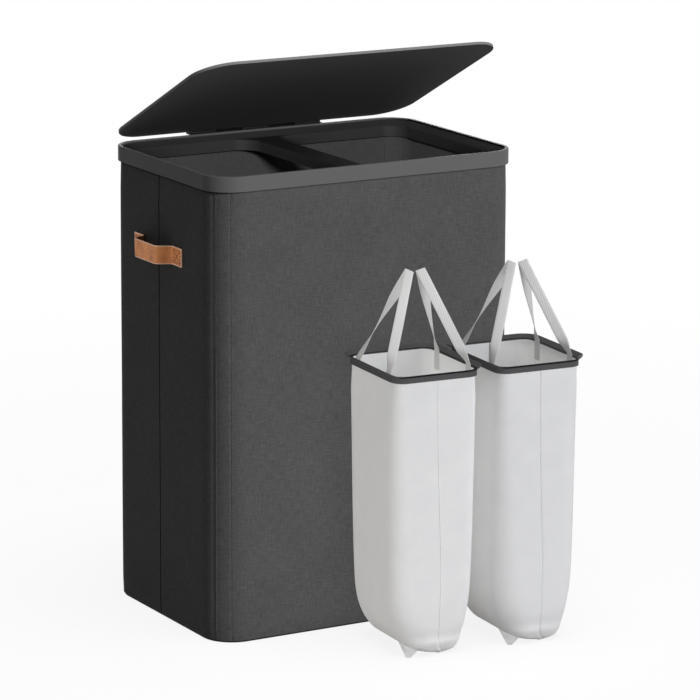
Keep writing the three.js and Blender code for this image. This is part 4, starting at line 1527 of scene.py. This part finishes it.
@dataclass
class Bag:
    """A lift-out bag: ring, sewn cloth, two webbing straps and a pull tab.

    The tables of the cloth start at the floor and end under the ring, by shares of the height. They
    hold shares of the ring's width and depth, of the half width for the corners and of the lean at the
    bottom. wander is how far, in millimetres, the front seam strays to the right.
    """

    number: int
    centre: tuple[float, float]
    turn_degrees: float = -4
    ring: Outline = Outline(69.25 * MM, 83.5 * MM, 20 * MM)
    ring_bottom: float = 416 * MM
    ring_band: float = 9.8 * MM
    ring_wall: float = 2.5 * MM
    ring_lip: float = 1.2 * MM
    flare_out: float = 7 * MM
    flare_up: float = 5 * MM
    flare_start: float = 3 * MM
    flare_run: float = 13 * MM
    flare_thickness: float = 1.8 * MM
    edge_round: float = 0.4 * MM
    cloth: float = 1.2 * MM
    keel_half: float = 1.3 * MM
    seam_width: float = 1.2 * MM
    seam_depth: float = 1.0 * MM
    fold_height: float = 19 * MM
    fold_width: float = 5 * MM
    fold_depth: float = 2.0 * MM
    tuck_height: float = 29 * MM
    tuck_width: float = 7 * MM
    tuck_depth: float = 1.6 * MM
    dart: float = 1.6
    lean: float = 14 * MM
    wide: Rows = ((0.006, 0.25), (0.014, 0.46), (0.03, 0.635), (0.06, 0.78), (0.10, 0.885), (0.15, 0.95),
                  (0.20, 0.985), (0.30, 1.01), (0.50, 1.035), (0.80, 1.05), (0.90, 1.035), (0.965, 1),
                  (1, 1))
    deep: Rows = ((0, 0.78), (0.014, 0.85), (0.03, 0.895), (0.06, 0.94), (0.10, 0.972), (0.15, 0.99),
                  (0.25, 1), (1, 1))
    rounding: Rows = ((0, 0.5), (0.06, 0.65), (0.12, 0.56), (0.2, 0.47), (0.4, 0.42), (0.8, 0.36),
                      (0.93, 0.28), (1, 0.26))
    leaning: Rows = ((0, 1), (0.014, 0.81), (0.03, 0.58), (0.06, 0.33), (0.10, 0.13), (0.15, 0))
    wander: Rows = ((0, 5), (0.03, 1), (0.06, 3.5), (0.134, 7), (0.265, 8), (0.5, 5), (0.74, 1.5), (1, 0))
    slack: float = 0.7 * MM
    dart_run: float = 8 * MM
    seam_columns: tuple[float, ...] = (0, 0.0022, 0.0044, 0.008, 0.014, 0.024, 0.038)
    panel_columns: int = 50
    low_rows: tuple[float, ...] = (0, 0.002, 0.005, 0.009, 0.014, 0.02, 0.027, 0.035, 0.044, 0.054,
                                   0.066, 0.08, 0.096, 0.114, 0.134, 0.156)
    high_from: float = 0.18
    high_rows: int = 36
    webbing: float = 14.5 * MM
    webbing_thickness: float = 1.1 * MM
    webbing_round: float = 0.15 * MM
    strap_spread: float = 50 * MM
    strap_rise: float = 135 * MM
    strap_leans: tuple[float, float] = (57.4 * MM, 53.9 * MM)
    strap_faces: tuple[float, float, float] = (-0.49, -0.84, 0.22)
    strap_folds: tuple[tuple[float, float, float], ...] = ((8, -12, -4), (12, -8, 6))
    strap_edge_on: tuple[float, float] = (0.36, 0.2)
    front_edge_on: float = 0.22
    strap_rows: int = 46
    foot_rows: int = 9
    foot: float = 30 * MM
    hinge_lift: float = 2 * MM
    blend_below: float = 1.5 * MM
    blend_above: float = 6 * MM
    tab_reach: float = 48 * MM
    tab_base: float = 76 * MM
    tab_forward: float = -14 * MM
    tab_skew: float = 79 * MM
    tab_swell: float = 16 * MM
    tab_cut: float = 5 * MM
    tab_thickness: float = 1.4 * MM
    tab_clear: float = 7.3 * MM

    def build(self) -> None:
        """Builds the bag's pieces."""
        self.collar()
        self.cloth_shell()
        for side in (-1, 1):
            self.strap(side)
        self.tab()

    @property
    def name(self) -> str:
        """The bag's name and its body's."""
        return f"bag_{self.number}"

    @property
    def ring_top(self) -> float:
        """The height of the ring's top."""
        return self.ring_bottom + self.ring_band

    def stand(self, piece: Object) -> None:
        """Turns a piece and moves it from the bag's own axes to where the bag stands."""
        focus(piece)
        piece.rotation_euler.z = math.radians(self.turn_degrees)
        piece.location = (*self.centre, 0)
        bpy.ops.object.transform_apply(location=True, rotation=True, scale=True)

    def collar(self) -> None:
        """Builds the stiff ring with its lip and the flare at its sides and back."""
        piece = rounded_plate(f"{self.name}_collar", self.ring, self.ring_bottom, 14)
        with editing(piece):
            pick(Kind.EDGE, lambda place, edge: edge.calc_length() > 60 * MM)
            bpy.ops.mesh.subdivide(number_cuts=15)
            pick(Kind.FACE)
            bpy.ops.mesh.inset(thickness=self.ring_wall)
            pick(Kind.FACE, lambda place, face: face.calc_area() > 0.005)
            bpy.ops.mesh.delete(type="FACE")
            pick(Kind.FACE)
            extrude(self.ring_band - self.flare_thickness)
            extrude(self.flare_thickness)
            edge_low = self.ring_top - self.flare_thickness
            pick(Kind.FACE, lambda place, face: edge_low < place.z < self.ring_top - 0.1 * MM
                 and self.ring.outside(place) < -self.ring_wall + TOLERANCE)
            thicken(TOUCH + self.cloth)
            pick(Kind.FACE, lambda place, face: edge_low < place.z < self.ring_top - 0.1 * MM
                 and abs(self.ring.outside(place)) < TOLERANCE)
            for _ in range(3):
                thicken(self.flare_out / 3)
        tidy(piece)

        def flare(place: Vector) -> Vector:
            """Draws the flare in towards the front and lifts its edge."""
            out = self.ring.outside(place)
            if out < 0.05 * MM:
                return place
            start = -self.ring.half_y + self.flare_start
            share = min(max((place.y - start) / self.flare_run, 0.02), 1)
            share = math.sqrt(1 - (1 - share) ** 2)
            way = (place - self.ring.core(place)).normalized()
            edge = place - way * out
            lift = self.flare_up * share * out / self.flare_out
            return edge + way * out * share + Vector((0, 0, lift))

        reshape(piece, flare)
        with editing(piece):
            pick(Kind.EDGE, lambda place, edge: sharp(edge, 50) and not upright(edge))
            round_edges(self.edge_round, 2)
        tidy(piece)

        def painted_shade_edge(face: Any) -> bool:
            """Whether a face lies on the ring's inner top edge or along the top of its front, where shade
            is painted near-black.
            """
            high = face.center.z > edge_low - 0.1 * MM
            inner = self.ring.outside(face.center) < -0.2 * MM and face.normal.z > 0.4
            front = face.center.y < self.flare_start - self.ring.half_y and face.normal.y < 0
            return high and (inner or front)

        # Painted shade: the ring's inner top edge and the top of its front take near-black, for the
        # shadow at the ring's lip.
        RING_PLASTIC.put_on_with(piece, RING_EDGE_SHADE, painted_shade_edge)
        polish(piece, 35, True)
        self.stand(piece)
        stand_for(piece, self.name, "plastic", f"{self.name}_ring")

    def section(self, share: float) -> tuple[Outline, float]:
        """The bag's outline at a share of its height.

        Args:
            share: The height, from 0 at the floor to 1 under the ring.

        Returns:
            The outline, and how far it leans to the right there.
        """
        inset = self.ring_wall + TOUCH
        full_x = self.ring.half_x - inset
        full_y = self.ring.half_y - inset
        wide = table(((0, self.keel_half / full_x), *self.wide), share)
        half_x = full_x * wide
        outline = Outline(half_x, full_y * table(self.deep, share), half_x * table(self.rounding, share))
        return outline, self.lean * table(self.leaning, share)

    def cloth_shell(self) -> None:
        """Builds the sewn cloth as one lofted shell with its seams, dart and slack."""
        top = self.ring_top - self.ring_lip - TOUCH
        near = self.seam_columns
        panel = 1 - 2 * near[-1]
        across = list(near)
        across += [near[-1] + panel * i / self.panel_columns for i in range(1, self.panel_columns)]
        across += [1 - share for share in reversed(near)]
        count = 2 * (len(across) - 1)
        high = 1 - self.high_from
        rows = list(self.low_rows)
        rows += [self.high_from + high * i / self.high_rows for i in range(self.high_rows + 1)]
        piece = primitive(bpy.ops.mesh.primitive_cylinder_add, f"{self.name}_cloth", vertices=count,
                          radius=1, depth=len(rows) - 1, end_fill_type="NOTHING")
        with editing(piece):
            pick(Kind.EDGE, lambda place, edge: upright(edge))
            bpy.ops.mesh.subdivide(number_cuts=len(rows) - 2)
        half = (len(rows) - 1) / 2
        self.sew(piece, count)

        def drape(place: Vector) -> Vector:
            """Lays a point of the plain tube on the bag."""
            row = round(place.z + half)
            column = round((math.atan2(place.y, place.x) / math.tau) * count) % count
            column = column if column <= count // 2 else column - count
            share = rows[row]
            outline, lean = self.section(share)
            part = across[abs(column)]
            along = math.copysign(part * outline.length() / 2, column if column else 1)
            spot = outline.point(along)
            height = top * share
            front = smooth(-spot.y / outline.half_y) if outline.half_y else 0
            hang = max(0, 1 - (spot.x / max(outline.half_x, MM)) ** 2)
            if front > 0 and outline.half_x > 3 * MM:
                spot.x += table(self.wander, share) * MM * front * hang
            reach = abs(along) if spot.y < 0 else outline.length() / 2 - abs(along)
            pull = math.exp(-(reach / self.seam_width) ** 2)
            way = Vector((spot.x / max(outline.half_x, MM) ** 2, spot.y / outline.half_y ** 2, 0))
            way.normalize()
            stray = noise.noise(Vector((spot.x * 8 + self.number * 3, spot.y * 8, height * 3)))
            loose = smooth((1 - share) / 0.12) * smooth(share / 0.05)
            fold = front * hang * math.exp(-((height - self.fold_height) / self.fold_width) ** 2)
            tuck = front * hang * math.exp(-((height - self.tuck_height) / self.tuck_width) ** 2)
            spot += way * (self.fold_depth * fold - self.tuck_depth * tuck)
            dart = 1 + self.dart * smooth((self.tuck_height - height) / self.dart_run)
            spot -= way * (self.seam_depth * dart * pull * smooth(share / 0.008)
                           + loose * self.slack * (stray + 0.4))
            return Vector((spot.x + lean, spot.y, height))

        reshape(piece, drape)
        with editing(piece):
            pick(Kind.EDGE, lambda place, edge: edge.is_boundary and place.z < MM)
            bpy.ops.mesh.edge_face_add()
        tidy(piece)
        modify(piece, "SOLIDIFY", thickness=self.cloth * 0.75, offset=-1)
        polish(piece, 60)
        self.stand(piece)
        stand_for(piece, self.name, "bag", f"{self.name}_left_half", f"{self.name}_right_half")

    def sew(self, piece: Object, count: int) -> None:
        """Gives the plain tube its finish, and a grey for the seam thread and its painted shade to a line
        of faces at both seams.

        Args:
            piece: The tube, before it is draped.
            count: How many faces there are round it.
        """
        def at_seam(face: Any) -> bool:
            """Whether a face stands in the line next to the front or the back seam."""
            column = math.atan2(face.center.y, face.center.x) / math.tau * count
            return -1 < column < 0 or abs(column) > count / 2 - 1

        # Partly painted shade: the grey line of faces at each seam stands for the thread and for the
        # shadow in its groove.
        BAG_CLOTH.put_on_with(piece, SEAM_THREAD_AND_SHADE, at_seam)

    def strap(self, side: int) -> None:
        """Builds a webbing strap from foot to foot, bending where it leaves the ring.

        Args:
            side: -1 for the left strap, 1 for the right.
        """
        label = "left" if side < 0 else "right"
        lean = self.strap_leans[0 if side < 0 else 1]
        wall = self.ring.half_x - self.ring_wall - 2 * TOUCH - self.cloth
        base = Vector((side * (wall - self.webbing_thickness / 2), 0, self.ring_top + self.hinge_lift))
        top = Vector((-side * lean, 0, self.strap_rise))
        fold = Vector(self.strap_folds[0 if side < 0 else 1]).normalized()
        edge_on = self.strap_edge_on[0 if side < 0 else 1]
        steps = self.strap_rows
        foot_rows = self.foot_rows
        piece = primitive(bpy.ops.mesh.primitive_grid_add, f"{self.name}_{label}_webbing",
                          x_subdivisions=2 * (steps + foot_rows), y_subdivisions=4, size=2)
        run = math.hypot(self.strap_spread, top.length) + self.foot

        def lay(place: Vector) -> Vector:
            """Lays a flat tape's point along the loop: up in front, over the fold, down behind."""
            row = round(abs(place.x) * (steps + foot_rows))
            end = -1 if place.x <= 0 else 1
            foot = Vector((0, end * self.strap_spread, 0))
            along = (top - foot).normalized()
            across = Vector((0, end, 0))
            if row > steps:
                centre = foot - Vector((0, 0, (row - steps) / foot_rows * self.foot))
                way = across
            else:
                share = 1 - row / steps
                centre = foot.lerp(top, share)
                view = Vector(self.strap_faces)
                if end < 0:
                    turned, at = along.cross(view), self.front_edge_on
                else:
                    turned, at = view - along * view.dot(along), edge_on
                turned = turned.normalized()
                turned = turned if turned.dot(across + fold) > 0 else -turned
                low = across.lerp(turned, smooth(share / at))
                late = max(0.0, (share - at) / (1 - at))
                way = low.lerp(fold, late if end > 0 else smooth(late)).normalized()
            return base + centre + way * (place.y * self.webbing / 2)

        layer = piece.data.uv_layers.get("UVMap")
        if layer:
            piece.data.uv_layers.remove(layer)
        lay_pattern(piece, lambda corner, face: (corner.x * run, corner.y * self.webbing / 2))
        reshape(piece, lay)
        modify(piece, "SOLIDIFY", thickness=self.webbing_thickness * 0.8, offset=0)
        with editing(piece):
            pick(Kind.EDGE, lambda place, edge: sharp(edge, 60))
            round_edges(self.webbing_round, 1)
        WEBBING.put_on(piece)
        polish(piece, 50)
        self.stand(piece)
        nodes = [f"{self.name}_{label}_strap" + part for part in ("", "_front_foot", "_back_foot")]
        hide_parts(*nodes)
        self.name
        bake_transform(piece)
        log.info("%s: blended from the bag to its loop", piece.name)

    def tab(self) -> None:
        """Builds the folded pull tab that lies on the floor at the bottom seam, its tip cut off."""
        base = self.lean - self.tab_clear
        tip = base - self.tab_reach
        tip_y = -self.tab_forward - self.tab_skew
        low = Vector((base, -self.tab_base / 2 - self.tab_forward, 0))
        high = Vector((base, self.tab_base / 2 - self.tab_forward, 0))
        far_low = Vector((tip + self.tab_cut, tip_y - self.tab_cut, 0))
        far_high = Vector((tip, tip_y, 0))
        piece = primitive(bpy.ops.mesh.primitive_grid_add, f"{self.name}_tab", x_subdivisions=20,
                          y_subdivisions=12, size=2)

        def lay(place: Vector) -> Vector:
            """Lays a flat patch's point on the floor, narrowing to the tab's tip."""
            far = (place.x + 1) / 2
            wide = (place.y + 1) / 2
            near_end = low.lerp(high, wide)
            far_end = far_low.lerp(far_high, wide)
            spot = near_end.lerp(far_end, far)
            spot.y += self.tab_swell * wide * math.sin(math.sqrt(far) * math.pi)
            wave = math.sin(far * math.pi) * math.cos(place.y * 2.2)
            return Vector((spot.x, spot.y, TOUCH + 0.5 * MM * (1 + 0.4 * wave)))

        reshape(piece, lay)
        tidy(piece)
        modify(piece, "SOLIDIFY", thickness=self.tab_thickness * 0.4, offset=0)
        BAG_CLOTH.put_on(piece)
        polish(piece, 50)
        self.stand(piece)
        stand_for(piece, self.name, "webbing", f"{self.name}_pull_tab")


def main() -> None:
    """Builds the room and every sub-assembly."""
    logging.basicConfig(level=logging.INFO, format="%(name)s: %(message)s")
    studio = Studio()
    studio.build()
    Body().build()
    Rim().build()
    Lid().build()
    Handle().build()
    for number, centre in ((1, (2.5 * MM, -294 * MM)), (2, (166 * MM, -312 * MM))):
        Bag(number, centre).build()
    studio.light()


if __name__ == "__main__":
    main()
